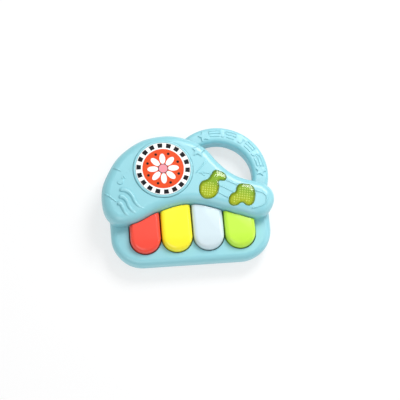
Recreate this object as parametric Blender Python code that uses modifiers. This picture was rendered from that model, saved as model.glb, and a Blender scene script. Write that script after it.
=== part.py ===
# A baby's electronic keyboard, lying on its back: the back face is z = 0, the keys face +Z and
# the ring handle points to +Y. The origin is the middle of the back of its bounding box.

import math

import bmesh
import bpy
from mathutils import Matrix, Vector

MM = 0.001

# Housing: three layers, stacked from the back
WALL = 2.2 * MM
SEAM = 0.3 * MM
PARTING_Z = 12 * MM
DECK_Z = 22 * MM
DOME_Z = 38 * MM
REAR_ROUND = 6 * MM
REAR_TUCK = 1.4 * MM
FRAME_TUCK = 3 * MM
TRAY_ROUND = 6 * MM
DOME_ROUND = 9 * MM
ROUND_STEPS = 2
SMALL_SIDES = 10

# Working distances: how far a cutter runs past a face, a cutter larger than the toy, and limits
# within which points are one point and faces lie flat
CUT_PAST = 1 * MM
FAR = 200 * MM
WELD = 0.002 * MM
FLAT = 0.0001 * MM

# Colours
AQUA = (0.34, 0.69, 0.79)
STEEL = (0.6, 0.6, 0.62)
SILICONE = (0.55, 0.55, 0.55)
BOARD_GREEN = (0.03, 0.2, 0.08)
LENS_GREEN = (0.3, 0.46, 0.08)
LABEL_ORANGE = (0.9, 0.13, 0.05)
BLACK = (0.02, 0.02, 0.02)
CELL_GREY = (0.1, 0.1, 0.12)
CONTACT_NICKEL = (0.8, 0.75, 0.6)
CLEAR_EPOXY = (0.8, 0.9, 0.8)

# Key tray
TRAY_LEFT = -78 * MM
TRAY_RIGHT = 80 * MM
TRAY_BOTTOM = -70 * MM
TRAY_TOP = -3 * MM
TRAY_CORNER = 31 * MM
CORNER_STEPS = 8

# Round button and its sticker
BUTTON_AT = (-22.8 * MM, 22.4 * MM)
BUTTON_RADIUS = 29.4 * MM
BUTTON_CLEARANCE = 0.6 * MM
BUTTON_RISE = 1.4 * MM
BUTTON_ROUND = 1.2 * MM
BUTTON_WALL = 1.8 * MM
BUTTON_FLANGE = 1.4 * MM
COLLAR_DEPTH = 2.8 * MM
COLLAR_WALL = 1.4 * MM
BUTTON_STEM = 3 * MM
LABEL_MARGIN = 2.4 * MM
LABEL_THICK = 0.4 * MM
LABEL_RECESS = 0.6 * MM
ROUND_SIDES = 36

# Upper cover: knots of its outline in millimetres, clockwise from the left end
DOME_CROWN = 7.2 * MM
DOME_TOP = (BUTTON_AT[1] + BUTTON_RADIUS + DOME_CROWN) / MM
DOME_KNOTS = [
    (-85, -4), (-77, 24), (-55, 48.5), (-25, DOME_TOP), (5.5, 54), (20.5, 44), (33.5, 27.5),
    (46, 15.5), (57, 9.5), (67, 6.5), (78, 2), (85, -9), (80, -24), (69, -31), (48, -26),
    (33, -20.5), (1, -12.4), (-28, -17.6), (-62, -30), (-76, -27),
]
OUTLINE_STEPS = 3
LEDGE = 11 * MM

# Ring handle: its outer edge reaches to the right and top sides given here
HANDLE_RIGHT = 83.5 * MM
HANDLE_TOP = 70 * MM
HANDLE_RADIUS = 42.5 * MM
HANDLE_BAND = 16 * MM
HANDLE_BACK = 2 * MM
HANDLE_FRONT = 20.5 * MM
HANDLE_ROUND = 6 * MM
LEAST_ROUND = 0.5 * MM
HANDLE_START = math.radians(-40)
HANDLE_END = math.radians(150)
HANDLE_PASSAGE = math.radians(8)
HANDLE_STEPS = 20

# Keys
KEY_COLOURS = {
    "red": (1.0, 0.098, 0.061),
    "yellow": (1.0, 0.95, 0.044),
    "blue": (0.75, 0.89, 0.92),
    "green": (0.65, 1.0, 0.112),
}
KEY_ROW_X = 2 * MM
KEY_WIDTH = 30 * MM
KEY_SPACING = 1.2 * MM
KEY_END_Y = -59 * MM
KEY_RISE = 8 * MM
KEY_SKIRT = 6 * MM
KEY_WALL = 1.8 * MM
KEY_ROUND = 4 * MM
KEY_GAP = 1.0 * MM
KEY_CLEARANCE = 0.9 * MM
KEY_SLOPE = 14 * MM
KEY_DROP = 3 * MM
SLOPE_STEPS = 3
KEY_INNER_ROUND = 2 * MM
KEY_END_STEPS = 10
LEVER_WIDTH = 18 * MM
LEVER_THICK = 2.8 * MM
RIB_THICK = 3 * MM
PLUNGER_RADIUS = 2.5 * MM

# Key pivot
PIVOT_Y = -4 * MM
ROD_RADIUS = 1.5 * MM
ROD_CLEARANCE = 0.25 * MM
BARREL_RADIUS = 3.2 * MM
BARREL_CLEARANCE = 0.6 * MM
BRACKET_THICK = 3 * MM
BRACKET_WIDTH = 8 * MM
DECK_MARGIN = 7 * MM

# Circuit boards and rubber contact domes
BOARD_THICK = 1.6 * MM
SWITCH_Y = -40 * MM
SWITCH_BOARD_Z = 8 * MM
SWITCH_BOARD_LENGTH = 122 * MM
SWITCH_BOARD_WIDTH = 12 * MM
RUBBER_RADIUS = 5 * MM
RUBBER_HEIGHT = 3.7 * MM
RUBBER_WALL = 1 * MM
RUBBER_CROWN = 2.2 * MM
MAIN_BOARD_LENGTH = 58 * MM
MAIN_BOARD_WIDTH = 28 * MM
MAIN_BOARD_Z = 24 * MM
STANDOFF_RADIUS = 2.5 * MM
STANDOFF_INSET = 5 * MM
STAKE_RADIUS = 1 * MM
STAKE_CLEARANCE = 0.3 * MM
STAKE_HEAD = 0.8 * MM
STAKE_SIDES = 6
CHIP_RADIUS = 5 * MM
CHIP_HEIGHT = 1.4 * MM
CHIP_OFFSET = 14.5 * MM
LED_BOARD_Z = 26 * MM
LED_BOARD_LENGTH = 56 * MM
LED_BOARD_WIDTH = 12 * MM
LED_BOARD_AT = (29 * MM, -3 * MM)
LED_STAKES = [(-24 * MM, 0), (8.5 * MM, -1 * MM)]
LED_RADIUS = 2.5 * MM
LED_HEIGHT = 3.6 * MM
LED_CROWN = 1.8 * MM
CROWN_STEPS = 2
LED_AT = {"single": (20.5 * MM, -1.5 * MM), "pair": (53 * MM, -5 * MM)}

# Note windows: knots of their outlines in millimetres
NOTE_KNOTS = {
    "single": [
        (11, -0.5), (14, 6.5), (21, 9.5), (24.5, 14), (28, 17.8), (32.5, 17), (38.6, 12),
        (37.5, 7), (31.5, 6.5), (30.8, 0), (27, -8.2), (20.5, -10.8), (13.2, -8.2),
    ],
    "pair": [
        (39.2, -13.3), (42, -8), (46.8, -5.3), (48.2, -1), (51.5, 2), (57, 1.7), (62.5, 0.1),
        (65.3, -4.1), (65.2, -13.1), (62.5, -19), (57.5, -20.8), (52, -17.2), (46, -19.6), (40, -17.7),
    ],
}
NOTE_STEPS = 2
LENS_RISE = 2 * MM
LENS_ROUND = 1.4 * MM
LENS_CLEARANCE = 0.4 * MM
LENS_FLANGE = 0.8 * MM
LENS_FLANGE_THICK = 1.2 * MM

# Wave ridges on the upper cover: knots of their middle lines in millimetres
WAVE_KNOTS = [
    [(-68.5, 2.5), (-60.5, 0.5), (-55.5, -8.5), (-50.5, -16.5), (-42.5, -19)],
    [(-69.5, -3.5), (-64.5, -6.5), (-61.5, -13.5), (-57.5, -19.5), (-51.5, -23.5)],
    [(-70.5, -10.5), (-67.5, -14.5), (-65.5, -20.5), (-60.5, -25)],
]
WAVE_RADIUS = 1.8 * MM
WAVE_SINK = 0.6 * MM
WAVE_DROP = 1 * MM
WAVE_STEPS = 3
WAVE_SIDES = 1

# Battery bay and its door
BAY_AT = (-20 * MM, 18 * MM)
BAY_WALL = 1.6 * MM
DOOR_THICK = 2.1 * MM
DOOR_END = 8 * MM
DOOR_SIDE = 3 * MM
DOOR_CORNER = 3 * MM
DOOR_CORNER_STEPS = 3
DOOR_CLEARANCE = 0.4 * MM
CELL_RADIUS = 5.25 * MM
CELL_LENGTH = 43.5 * MM
NUB_RADIUS = 1.9 * MM
NUB_LENGTH = 1 * MM
CELL_GAP = 0.5 * MM
CELL_SIDES = 14
CONTACT_ROOM = 3.7 * MM
CONTACT_THICK = 0.5 * MM
CONTACT_WIDTH = 8 * MM
CONTACT_TAPER = 0.95
CONTACT_STEPS = 6

# Speaker
SPEAKER_AT = (33 * MM, -2 * MM)
SPEAKER_RADIUS = 14 * MM
SPEAKER_HEIGHT = 4.6 * MM
SPEAKER_RIM = 1.2 * MM
SPEAKER_CLEARANCE = 0.4 * MM
SPEAKER_WALL = 1.4 * MM
SPEAKER_SIDES = 16
MAGNET_RADIUS = 6 * MM
MAGNET_HEIGHT = 3 * MM
GRILLE_RADIUS = 11 * MM
GRILLE_SLOT = 2 * MM
GRILLE_PITCH = 4 * MM
GRILLE_SLOTS = 5

# Slide switch on the back
SWITCH_AT = (55 * MM, -14 * MM)
SLIDER_TRAVEL = 4 * MM
SLIDER_LENGTH = 5 * MM
SLIDER_WIDTH = 4.4 * MM
SLIDER_POCKET = 1.4 * MM
SLIDER_CLEARANCE = 0.4 * MM
STEM_LENGTH = 2.4 * MM
STEM_WIDTH = 2 * MM
STEM_HEIGHT = 3 * MM
SWITCH_BODY = (13 * MM, 6 * MM, 5 * MM)

# Screws
SCREW_HEAD = 2.5 * MM
SCREW_HEAD_HEIGHT = 2 * MM
SCREW_RADIUS = 1.25 * MM
SCREW_CLEARANCE = 0.35 * MM
SCREW_SEAT_Z = 6 * MM
BOSS_RADIUS = 4 * MM
LONG_GRIP = 8 * MM
SHORT_GRIP = 5 * MM
DOOR_GRIP = 6 * MM
LONG_SCREWS = [(-70 * MM, 0), (-61 * MM, 26 * MM), (19.5 * MM, 25 * MM), (71.5 * MM, -13 * MM)]
SHORT_SCREWS = [(-66 * MM, -44 * MM), (70 * MM, -44 * MM)]

# Heights and places that follow from the sizes above
HANDLE_OUTER = HANDLE_RADIUS + HANDLE_BAND / 2
HANDLE_AT = (HANDLE_RIGHT - HANDLE_OUTER, HANDLE_TOP - HANDLE_OUTER)
KEY_PITCH = KEY_WIDTH + KEY_SPACING
KEY_TOP_Z = DECK_Z + KEY_RISE
PIVOT_Z = DECK_Z - WALL - BARREL_CLEARANCE - BARREL_RADIUS
SWITCH_TOP_Z = SWITCH_BOARD_Z + BOARD_THICK
KEY_RUBBER_Z = SWITCH_TOP_Z + SEAM
MAIN_TOP_Z = MAIN_BOARD_Z + BOARD_THICK
BUTTON_RUBBER_Z = MAIN_TOP_Z + SEAM
BUTTON_TOP_Z = DOME_Z + BUTTON_RISE
LABEL_RADIUS = BUTTON_RADIUS - LABEL_MARGIN
DOME_INSIDE_Z = DOME_Z - WALL
COLLAR_LOW = DOME_INSIDE_Z - COLLAR_DEPTH
DOOR_SEAT_Z = DOOR_THICK + SEAM
BAY_LENGTH = CELL_LENGTH + NUB_LENGTH + 2 * CONTACT_ROOM
BAY_WIDTH = 4 * (CELL_RADIUS + CELL_GAP)
BAY_DEPTH = DOOR_SEAT_Z + 2 * CELL_RADIUS + SEAM
BAY_ROOF_Z = BAY_DEPTH + BAY_WALL
DOOR_LENGTH = BAY_LENGTH + 2 * DOOR_END
DOOR_WIDTH = BAY_WIDTH + 2 * DOOR_SIDE
SPEAKER_Z = WALL + SEAM
STAKE_HOLE = STAKE_RADIUS + STAKE_CLEARANCE
SCREW_HOLE = SCREW_RADIUS + SCREW_CLEARANCE


def clear_scene():
    for obj in list(bpy.data.objects):
        bpy.data.objects.remove(obj)


def named_collection(name):
    collection = bpy.data.collections.new(name)
    bpy.context.scene.collection.children.link(collection)
    return collection


def finish(name, colour, roughness, metallic=0.0, alpha=1.0):
    material = bpy.data.materials.new(name)
    material.use_nodes = True
    shader = material.node_tree.nodes["Principled BSDF"]
    shader.inputs["Base Color"].default_value = (*colour, 1.0)
    shader.inputs["Roughness"].default_value = roughness
    shader.inputs["Metallic"].default_value = metallic
    shader.inputs["Alpha"].default_value = alpha
    return material


def linked(name, data):
    obj = bpy.data.objects.new(name, data)
    PARTS.objects.link(obj)
    return obj


def evaluated_mesh(obj):
    bpy.context.view_layer.update()
    graph = bpy.context.evaluated_depsgraph_get()
    return bpy.data.meshes.new_from_object(obj.evaluated_get(graph), depsgraph=graph)


# Outlines, as lists of 2D points


def smooth_outline(knots, steps, cyclic=True):
    curve = bpy.data.curves.new("outline", "CURVE")
    curve.resolution_u = steps
    spline = curve.splines.new("BEZIER")
    spline.bezier_points.add(len(knots) - 1)
    for knot, (x, y) in zip(spline.bezier_points, knots):
        knot.co = (x * MM, y * MM, 0)
        knot.handle_left_type = "AUTO"
        knot.handle_right_type = "AUTO"
    spline.use_cyclic_u = cyclic
    guide = linked("outline", curve)
    mesh = evaluated_mesh(guide)
    outline = [vertex.co.to_2d() for vertex in mesh.vertices]
    bpy.data.objects.remove(guide)
    bpy.data.meshes.remove(mesh)
    return outline


def signed_area(outline):
    following = outline[1:] + outline[:1]
    return sum(a.cross(b) for a, b in zip(outline, following)) / 2


def grown(outline, distance):
    # Each corner moves out along its mitre, so that every side moves by the distance.
    turn = 1 if signed_area(outline) > 0 else -1
    moved = []
    for index, point in enumerate(outline):
        before = (point - outline[index - 1]).normalized()
        after = (outline[(index + 1) % len(outline)] - point).normalized()
        first = Vector((before.y, -before.x)) * turn
        second = Vector((after.y, -after.x)) * turn
        moved.append(point + (first + second) * distance / (1 + first.dot(second)))
    return moved


def arc(x, y, radius, start, end, steps):
    angles = [start + (end - start) * step / steps for step in range(steps + 1)]
    return [Vector((x + radius * math.cos(a), y + radius * math.sin(a))) for a in angles]


def rounded_rectangle(left, right, bottom, top, radius, steps):
    quarter = math.pi / 2
    corners = [(right, top), (left, top), (left, bottom), (right, bottom)]
    outline = []
    for index, (x, y) in enumerate(corners):
        inner_x = x - radius if x == right else x + radius
        inner_y = y - radius if y == top else y + radius
        outline += arc(inner_x, inner_y, radius, index * quarter, (index + 1) * quarter, steps)
    return outline


def tray_outline():
    left_end = TRAY_LEFT + TRAY_CORNER
    right_end = TRAY_RIGHT - TRAY_CORNER
    middle_y = TRAY_BOTTOM + TRAY_CORNER
    outline = [Vector((TRAY_RIGHT, TRAY_TOP)), Vector((TRAY_LEFT, TRAY_TOP))]
    outline += arc(left_end, middle_y, TRAY_CORNER, math.pi, 1.5 * math.pi, CORNER_STEPS)
    outline += arc(right_end, middle_y, TRAY_CORNER, 1.5 * math.pi, 2 * math.pi, CORNER_STEPS)
    return outline


def key_outline(x, growth):
    half = KEY_WIDTH / 2 + growth
    end_y = KEY_END_Y + KEY_WIDTH / 2
    outline = arc(x, end_y, half, math.pi, 2 * math.pi, KEY_END_STEPS)
    return outline + [Vector((x + half, TRAY_TOP)), Vector((x - half, TRAY_TOP))]


# Solids, as mesh objects


def from_bmesh(shape):
    mesh = bpy.data.meshes.new("solid")
    bmesh.ops.recalc_face_normals(shape, faces=shape.faces)
    shape.to_mesh(mesh)
    shape.free()
    return linked("solid", mesh)


def box(left, right, front, back, low, high):
    shape = bmesh.new()
    bmesh.ops.create_cube(shape, size=1)
    size = Vector((right - left, back - front, high - low))
    middle = Vector((right + left, back + front, high + low)) / 2
    bmesh.ops.scale(shape, vec=size, verts=shape.verts)
    bmesh.ops.translate(shape, vec=middle, verts=shape.verts)
    return from_bmesh(shape)


def drum(x, y, radius, low, high, sides=SMALL_SIDES):
    shape = bmesh.new()
    bmesh.ops.create_cone(
        shape, cap_ends=True, segments=sides, radius1=radius, radius2=radius, depth=high - low
    )
    bmesh.ops.translate(shape, vec=(x, y, (low + high) / 2), verts=shape.verts)
    return from_bmesh(shape)


def bore(x, y, radius, low, high, sides=SMALL_SIDES):
    # The flats of the hole, not its corners, lie on the radius.
    return drum(x, y, radius / math.cos(math.pi / sides), low, high, sides)


def laid_along_x(obj, left, y, z):
    # A drum made from height 0 upwards is laid down to run from the left end along +X.
    place = Matrix.Translation((left, y, z)) @ Matrix.Rotation(math.pi / 2, 4, "Y")
    obj.data.transform(place)
    return obj


def flattened_cap(shape, z):
    cap = [face for face in shape.faces if all(abs(v.co.z - z) < FLAT for v in face.verts)]
    bmesh.ops.dissolve_faces(shape, faces=cap)


def rounded_rim(shape, z, radius):
    rim = [edge for edge in shape.edges if all(abs(v.co.z - z) < FLAT for v in edge.verts)]
    bmesh.ops.bevel(
        shape, geom=rim, offset=radius, segments=ROUND_STEPS, profile=0.5, affect="EDGES"
    )


def drawn(outline, z, cyclic):
    curve = bpy.data.curves.new("drawn", "CURVE")
    spline = curve.splines.new("POLY")
    spline.points.add(len(outline) - 1)
    for point, (x, y) in zip(spline.points, outline):
        point.co = (x, y, z, 1)
    spline.use_cyclic_u = cyclic
    return linked("drawn", curve)


def solidified(guide):
    mesh = evaluated_mesh(guide)
    bpy.data.objects.remove(guide)
    shape = bmesh.new()
    shape.from_mesh(mesh)
    bpy.data.meshes.remove(mesh)
    bmesh.ops.remove_doubles(shape, verts=shape.verts, dist=WELD)
    return from_bmesh(shape)


def plate(outline, low, high, low_round=0, high_round=0):
    guide = drawn(outline, 0, True)
    guide.data.dimensions = "2D"
    guide.data.fill_mode = "BOTH"
    guide.data.extrude = (high - low) / 2
    slab = solidified(guide)
    shape = bmesh.new()
    shape.from_mesh(slab.data)
    bpy.data.objects.remove(slab)
    bmesh.ops.translate(shape, vec=(0, 0, (low + high) / 2), verts=shape.verts)
    for z, radius in ((low, low_round), (high, high_round)):
        flattened_cap(shape, z)
        if radius:
            rounded_rim(shape, z, radius)
    return from_bmesh(shape)


def turned(profile, steps, x=0, y=0, z=0):
    # The profile is a list of (radius, height), from the top down the outer side.
    mesh = bpy.data.meshes.new("turned")
    ring = profile + profile[:1] if profile[0][0] else profile
    points = [(radius, 0, height) for radius, height in profile]
    count = len(profile)
    edges = [(index, (index + 1) % count) for index in range(len(ring) - 1)]
    mesh.from_pydata(points, edges, [])
    obj = linked("turned", mesh)
    screw = obj.modifiers.new("turn", "SCREW")
    screw.steps = steps
    screw.render_steps = steps
    screw.use_merge_vertices = True
    screw.merge_threshold = WELD
    screw.use_smooth_shade = False
    obj.data = evaluated_mesh(obj)
    obj.modifiers.clear()
    bpy.data.meshes.remove(mesh)
    shape = bmesh.new()
    shape.from_mesh(obj.data)
    bmesh.ops.translate(shape, vec=(x, y, z), verts=shape.verts)
    bmesh.ops.recalc_face_normals(shape, faces=shape.faces)
    shape.to_mesh(obj.data)
    shape.free()
    return obj


def crowned(radius, height, crown):
    # A turned profile: an elliptic crown, on a straight foot if it is lower than the height.
    foot = height - crown
    quarter = math.pi / 2
    angles = [quarter * step / CROWN_STEPS for step in range(CROWN_STEPS + 1)]
    profile = [(radius * math.sin(a), foot + crown * math.cos(a)) for a in angles]
    if foot > WELD:
        profile.append((radius, 0))
    return profile + [(0, 0)]


def ridge(knots, z):
    guide = drawn(smooth_outline(knots, WAVE_STEPS, cyclic=False), z - WAVE_SINK, False)
    guide.data.dimensions = "3D"
    guide.data.bevel_depth = WAVE_RADIUS
    guide.data.bevel_resolution = WAVE_SIDES
    guide.data.use_fill_caps = True
    points = guide.data.splines[0].points
    last = len(points) - 1
    for index, point in enumerate(points):
        point.co.z -= WAVE_DROP * (2 * index / last - 1) ** 2
    return solidified(guide)


def combined(target, tool, operation):
    boolean = target.modifiers.new("combine", "BOOLEAN")
    boolean.operation = operation
    boolean.solver = "EXACT"
    boolean.object = tool
    before = target.data
    target.data = evaluated_mesh(target)
    target.modifiers.clear()
    bpy.data.meshes.remove(before)
    bpy.data.objects.remove(tool)
    shape = bmesh.new()
    shape.from_mesh(target.data)
    bmesh.ops.remove_doubles(shape, verts=shape.verts, dist=WELD)
    shape.to_mesh(target.data)
    shape.free()


def join(target, *tools):
    for tool in tools:
        combined(target, tool, "UNION")
    return target


def cut(target, *tools):
    for tool in tools:
        combined(target, tool, "DIFFERENCE")
    return target


def settle(obj, name, material, pivot=(0, 0, 0)):
    # The object's origin moves to the pivot, and its shape stays where it is.
    obj.data.transform(Matrix.Translation(-Vector(pivot)))
    obj.location = pivot
    obj.name = name
    obj.data.name = name
    obj.data.materials.clear()
    obj.data.materials.append(material)
    return obj


# Housing


def shell_inside(outline, low, high, rounds):
    inner_rounds = [max(radius - WALL, 0) for radius in rounds]
    return plate(grown(outline, -WALL), low, high, *inner_rounds)


def handle_bar(inset):
    # A rounded bar swept along the ring; its inset copy is the hollow, which runs on into the body.
    half_band = HANDLE_BAND / 2 - inset
    half_depth = (HANDLE_FRONT - HANDLE_BACK) / 2 - inset
    corner = max(HANDLE_ROUND - inset, LEAST_ROUND)
    sides = (-half_band, half_band, -half_depth, half_depth)
    section = drawn(rounded_rectangle(*sides, corner, ROUND_STEPS), 0, True)
    runs_on = HANDLE_PASSAGE if inset else 0
    ring = arc(*HANDLE_AT, HANDLE_RADIUS, HANDLE_START - runs_on, HANDLE_END + runs_on, HANDLE_STEPS)
    bar = drawn(ring, (HANDLE_FRONT + HANDLE_BACK) / 2, False)
    bar.data.dimensions = "3D"
    bar.data.twist_mode = "Z_UP"
    bar.data.bevel_mode = "OBJECT"
    bar.data.bevel_object = section
    bar.data.use_fill_caps = True
    solid = solidified(bar)
    bpy.data.objects.remove(section)
    return solid


def make_rear_cover():
    rear = (REAR_ROUND, 0)
    past = PARTING_Z + CUT_PAST
    body = grown(DOME, -FRAME_TUCK - REAR_TUCK)
    tray = grown(TRAY, -REAR_TUCK)
    cover = plate(body, 0, past, *rear)
    join(cover, plate(tray, 0, past + CUT_PAST, *rear))
    join(cover, handle_bar(0))
    cut(cover, box(-FAR, FAR, -FAR, FAR, PARTING_Z, FAR))
    cut(cover, shell_inside(body, WALL, past, rear))
    cut(cover, shell_inside(tray, WALL, past + CUT_PAST, rear))
    cut(cover, handle_bar(WALL))
    add_battery_bay(cover)
    add_speaker_seat(cover)
    add_switch_slot(cover)
    for x, y in LONG_SCREWS + SHORT_SCREWS:
        join(cover, drum(x, y, BOSS_RADIUS, WALL / 2, PARTING_Z))
        cut(cover, bore(x, y, SCREW_HEAD + SCREW_CLEARANCE, -CUT_PAST, SCREW_SEAT_Z))
        cut(cover, bore(x, y, SCREW_HOLE, 0, past))
    for step in (-1, 0, 1):
        x = KEY_ROW_X + step * KEY_PITCH
        add_stake(cover, x, SWITCH_Y, WALL / 2, SWITCH_BOARD_Z)
    return settle(cover, "rear_cover", finish("rear_cover", AQUA, 0.35))


def add_stake(carrier, x, y, low, board_z):
    # A standoff up to the board's lower face, with a stake through it.
    join(carrier, drum(x, y, STANDOFF_RADIUS, low, board_z - SEAM, STAKE_SIDES))
    join(carrier, drum(x, y, STAKE_RADIUS, low, board_z + BOARD_THICK + STAKE_HEAD, STAKE_SIDES))


def add_battery_bay(cover):
    x, y = BAY_AT
    half_length = BAY_LENGTH / 2
    half_width = BAY_WIDTH / 2
    half_door = DOOR_LENGTH / 2
    half_door_width = DOOR_WIDTH / 2
    rim = BAY_WALL + DOOR_CLEARANCE
    tub_x = half_length + BAY_WALL
    tub_y = half_width + BAY_WALL
    ledge_x = half_door + rim
    ledge_y = half_door_width + rim
    ledge_z = DOOR_SEAT_Z + BAY_WALL
    low = WALL / 2
    join(cover, box(x - ledge_x, x + ledge_x, y - ledge_y, y + ledge_y, low, ledge_z))
    join(cover, box(x - tub_x, x + tub_x, y - tub_y, y + tub_y, low, BAY_ROOF_Z))
    for side in (-1, 1):
        screw_x = x + side * (half_length + DOOR_END / 2)
        join(cover, drum(screw_x, y, BOSS_RADIUS, low, DOOR_SEAT_Z + DOOR_GRIP + BAY_WALL))
        cut(cover, bore(screw_x, y, SCREW_HOLE, 0, DOOR_SEAT_Z + DOOR_GRIP))
    cut(cover, plate(door_outline(DOOR_CLEARANCE), -CUT_PAST, DOOR_SEAT_Z))
    bay = (x - half_length, x + half_length, y - half_width, y + half_width)
    cut(cover, box(*bay, -CUT_PAST, BAY_DEPTH))
    for stake_x, stake_y in main_stakes():
        add_stake(cover, stake_x, stake_y, BAY_ROOF_Z - BAY_WALL / 2, MAIN_BOARD_Z)


def main_stakes():
    x, y = BAY_AT
    reach_x = min(BAY_LENGTH, MAIN_BOARD_LENGTH) / 2 - STANDOFF_INSET
    reach_y = min(BAY_WIDTH, MAIN_BOARD_WIDTH) / 2 - STANDOFF_INSET / 2
    return [(x + i * reach_x, y + j * reach_y) for i in (-1, 1) for j in (-1, 1)]


def door_outline(growth):
    x, y = BAY_AT
    half_length = DOOR_LENGTH / 2
    half_width = DOOR_WIDTH / 2
    sides = (x - half_length, x + half_length, y - half_width, y + half_width)
    return grown(rounded_rectangle(*sides, DOOR_CORNER, DOOR_CORNER_STEPS), growth)


def add_speaker_seat(cover):
    x, y = SPEAKER_AT
    seat = SPEAKER_RADIUS + SPEAKER_CLEARANCE
    seat_top = SPEAKER_Z + 2 * SPEAKER_RIM
    join(cover, drum(x, y, seat + SPEAKER_WALL, WALL / 2, seat_top, SPEAKER_SIDES))
    cut(cover, bore(x, y, seat, WALL, seat_top + CUT_PAST, SPEAKER_SIDES))
    for slot in range(GRILLE_SLOTS):
        rise = (slot - (GRILLE_SLOTS - 1) / 2) * GRILLE_PITCH
        reach = math.sqrt(GRILLE_RADIUS**2 - rise**2)
        low_y = y + rise - GRILLE_SLOT / 2
        high_y = y + rise + GRILLE_SLOT / 2
        cut(cover, box(x - reach, x + reach, low_y, high_y, -CUT_PAST, WALL + SEAM / 2))


def add_switch_slot(cover):
    # A pocket in the back face for the finger pad, and a slot for its stem.
    x, y = SWITCH_AT
    pad_x = SLIDER_LENGTH / 2 + SLIDER_CLEARANCE
    pad_y = SLIDER_WIDTH / 2 + SLIDER_CLEARANCE
    stem_x = STEM_LENGTH / 2 + SLIDER_CLEARANCE
    stem_y = STEM_WIDTH / 2 + SLIDER_CLEARANCE
    far = x + SLIDER_TRAVEL
    cut(cover, box(x - pad_x, far + pad_x, y - pad_y, y + pad_y, -CUT_PAST, SLIDER_POCKET))
    cut(cover, box(x - stem_x, far + stem_x, y - stem_y, y + stem_y, 0, WALL + CUT_PAST))


def make_key_frame():
    low = PARTING_Z + SEAM
    tray = (0, TRAY_ROUND)
    under = low - CUT_PAST
    inside = DECK_Z - WALL
    body = grown(DOME, -FRAME_TUCK)
    frame = plate(body, under, DECK_Z)
    join(frame, plate(TRAY, under - CUT_PAST, DECK_Z, *tray))
    join(frame, handle_bar(0))
    cut(frame, box(-FAR, FAR, -FAR, FAR, -FAR, low))
    cut(frame, shell_inside(body, under, inside, (0, 0)))
    cut(frame, shell_inside(TRAY, under - CUT_PAST, inside, tray))
    cut(frame, handle_bar(WALL))
    for x in key_places():
        cut(frame, key_block(x, KEY_CLEARANCE, PARTING_Z, DECK_Z + CUT_PAST))
    opening = plate(grown(DOME, -LEDGE), inside - CUT_PAST, DECK_Z + CUT_PAST)
    deck_edge = PIVOT_Y + DECK_MARGIN
    cut(opening, box(-FAR, FAR, -FAR, deck_edge, 0, DOME_Z))
    cut(frame, opening)
    for x in bracket_places():
        left = x - BRACKET_THICK / 2
        right = x + BRACKET_THICK / 2
        front = PIVOT_Y - BRACKET_WIDTH / 2
        back = PIVOT_Y + BRACKET_WIDTH / 2
        bottom = PIVOT_Z - BRACKET_WIDTH / 2
        join(frame, box(left, right, front, back, bottom, DECK_Z - WALL / 2))
    hole = bore(0, 0, ROD_RADIUS + ROD_CLEARANCE, 0, rod_length() + 2 * SEAM)
    cut(frame, laid_along_x(hole, rod_left() - SEAM, PIVOT_Y, PIVOT_Z))
    for x, y in LONG_SCREWS + SHORT_SCREWS:
        join(frame, drum(x, y, BOSS_RADIUS, low, DECK_Z))
    for x, y in LONG_SCREWS:
        cut(frame, bore(x, y, SCREW_HOLE, under, DECK_Z + CUT_PAST))
    for x, y in SHORT_SCREWS:
        cut(frame, bore(x, y, SCREW_HOLE, under, PARTING_Z + SHORT_GRIP + SEAM))
    return settle(frame, "key_frame", finish("key_frame", AQUA, 0.3))


def key_places():
    count = len(KEY_COLOURS)
    return [KEY_ROW_X + (index - (count - 1) / 2) * KEY_PITCH for index in range(count)]


def bracket_places():
    count = len(KEY_COLOURS)
    return [KEY_ROW_X + (index - count / 2) * KEY_PITCH for index in range(count + 1)]


def rod_left():
    return bracket_places()[0]


def rod_length():
    return bracket_places()[-1] - rod_left()


def make_dome_cover():
    low = DECK_Z + SEAM
    cover = plate(DOME, low, DOME_Z, high_round=DOME_ROUND)
    for knots in WAVE_KNOTS:
        join(cover, ridge(knots, DOME_Z))
    # The rim turns in far enough to stand on the tucked-in frame.
    cut(cover, shell_inside(DOME, low + WALL, DOME_INSIDE_Z, (0, DOME_ROUND)))
    cut(cover, plate(grown(DOME, -FRAME_TUCK - WALL), low - CUT_PAST, low + 2 * WALL))
    for x, y in LONG_SCREWS:
        join(cover, drum(x, y, BOSS_RADIUS - SEAM, low, DOME_INSIDE_Z + WALL / 2))
        cut(cover, bore(x, y, SCREW_HOLE, low - CUT_PAST, low + LONG_GRIP + SEAM))
    for x, y in led_stakes():
        top = DOME_INSIDE_Z + WALL / 2
        board_top = LED_BOARD_Z + BOARD_THICK
        join(cover, drum(x, y, STANDOFF_RADIUS, board_top + SEAM, top, STAKE_SIDES))
        join(cover, drum(x, y, STAKE_RADIUS, LED_BOARD_Z - STAKE_HEAD, top, STAKE_SIDES))
    x, y = BUTTON_AT
    hole = BUTTON_RADIUS + BUTTON_CLEARANCE
    past = DOME_Z + CUT_PAST
    join(cover, drum(x, y, hole + COLLAR_WALL, COLLAR_LOW, DOME_Z - WALL / 2, ROUND_SIDES))
    cut(cover, bore(x, y, hole, COLLAR_LOW - CUT_PAST, past, ROUND_SIDES))
    for outline in NOTES.values():
        collar = grown(outline, LENS_CLEARANCE + COLLAR_WALL)
        join(cover, plate(collar, COLLAR_LOW, DOME_Z - WALL / 2))
        window = grown(outline, LENS_CLEARANCE)
        cut(cover, plate(window, COLLAR_LOW - CUT_PAST, past))
    return settle(cover, "dome_cover", finish("dome_cover", AQUA, 0.3))


def led_stakes():
    x, y = LED_BOARD_AT
    return [(x + stake_x, y + stake_y) for stake_x, stake_y in LED_STAKES]


# Keys


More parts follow.
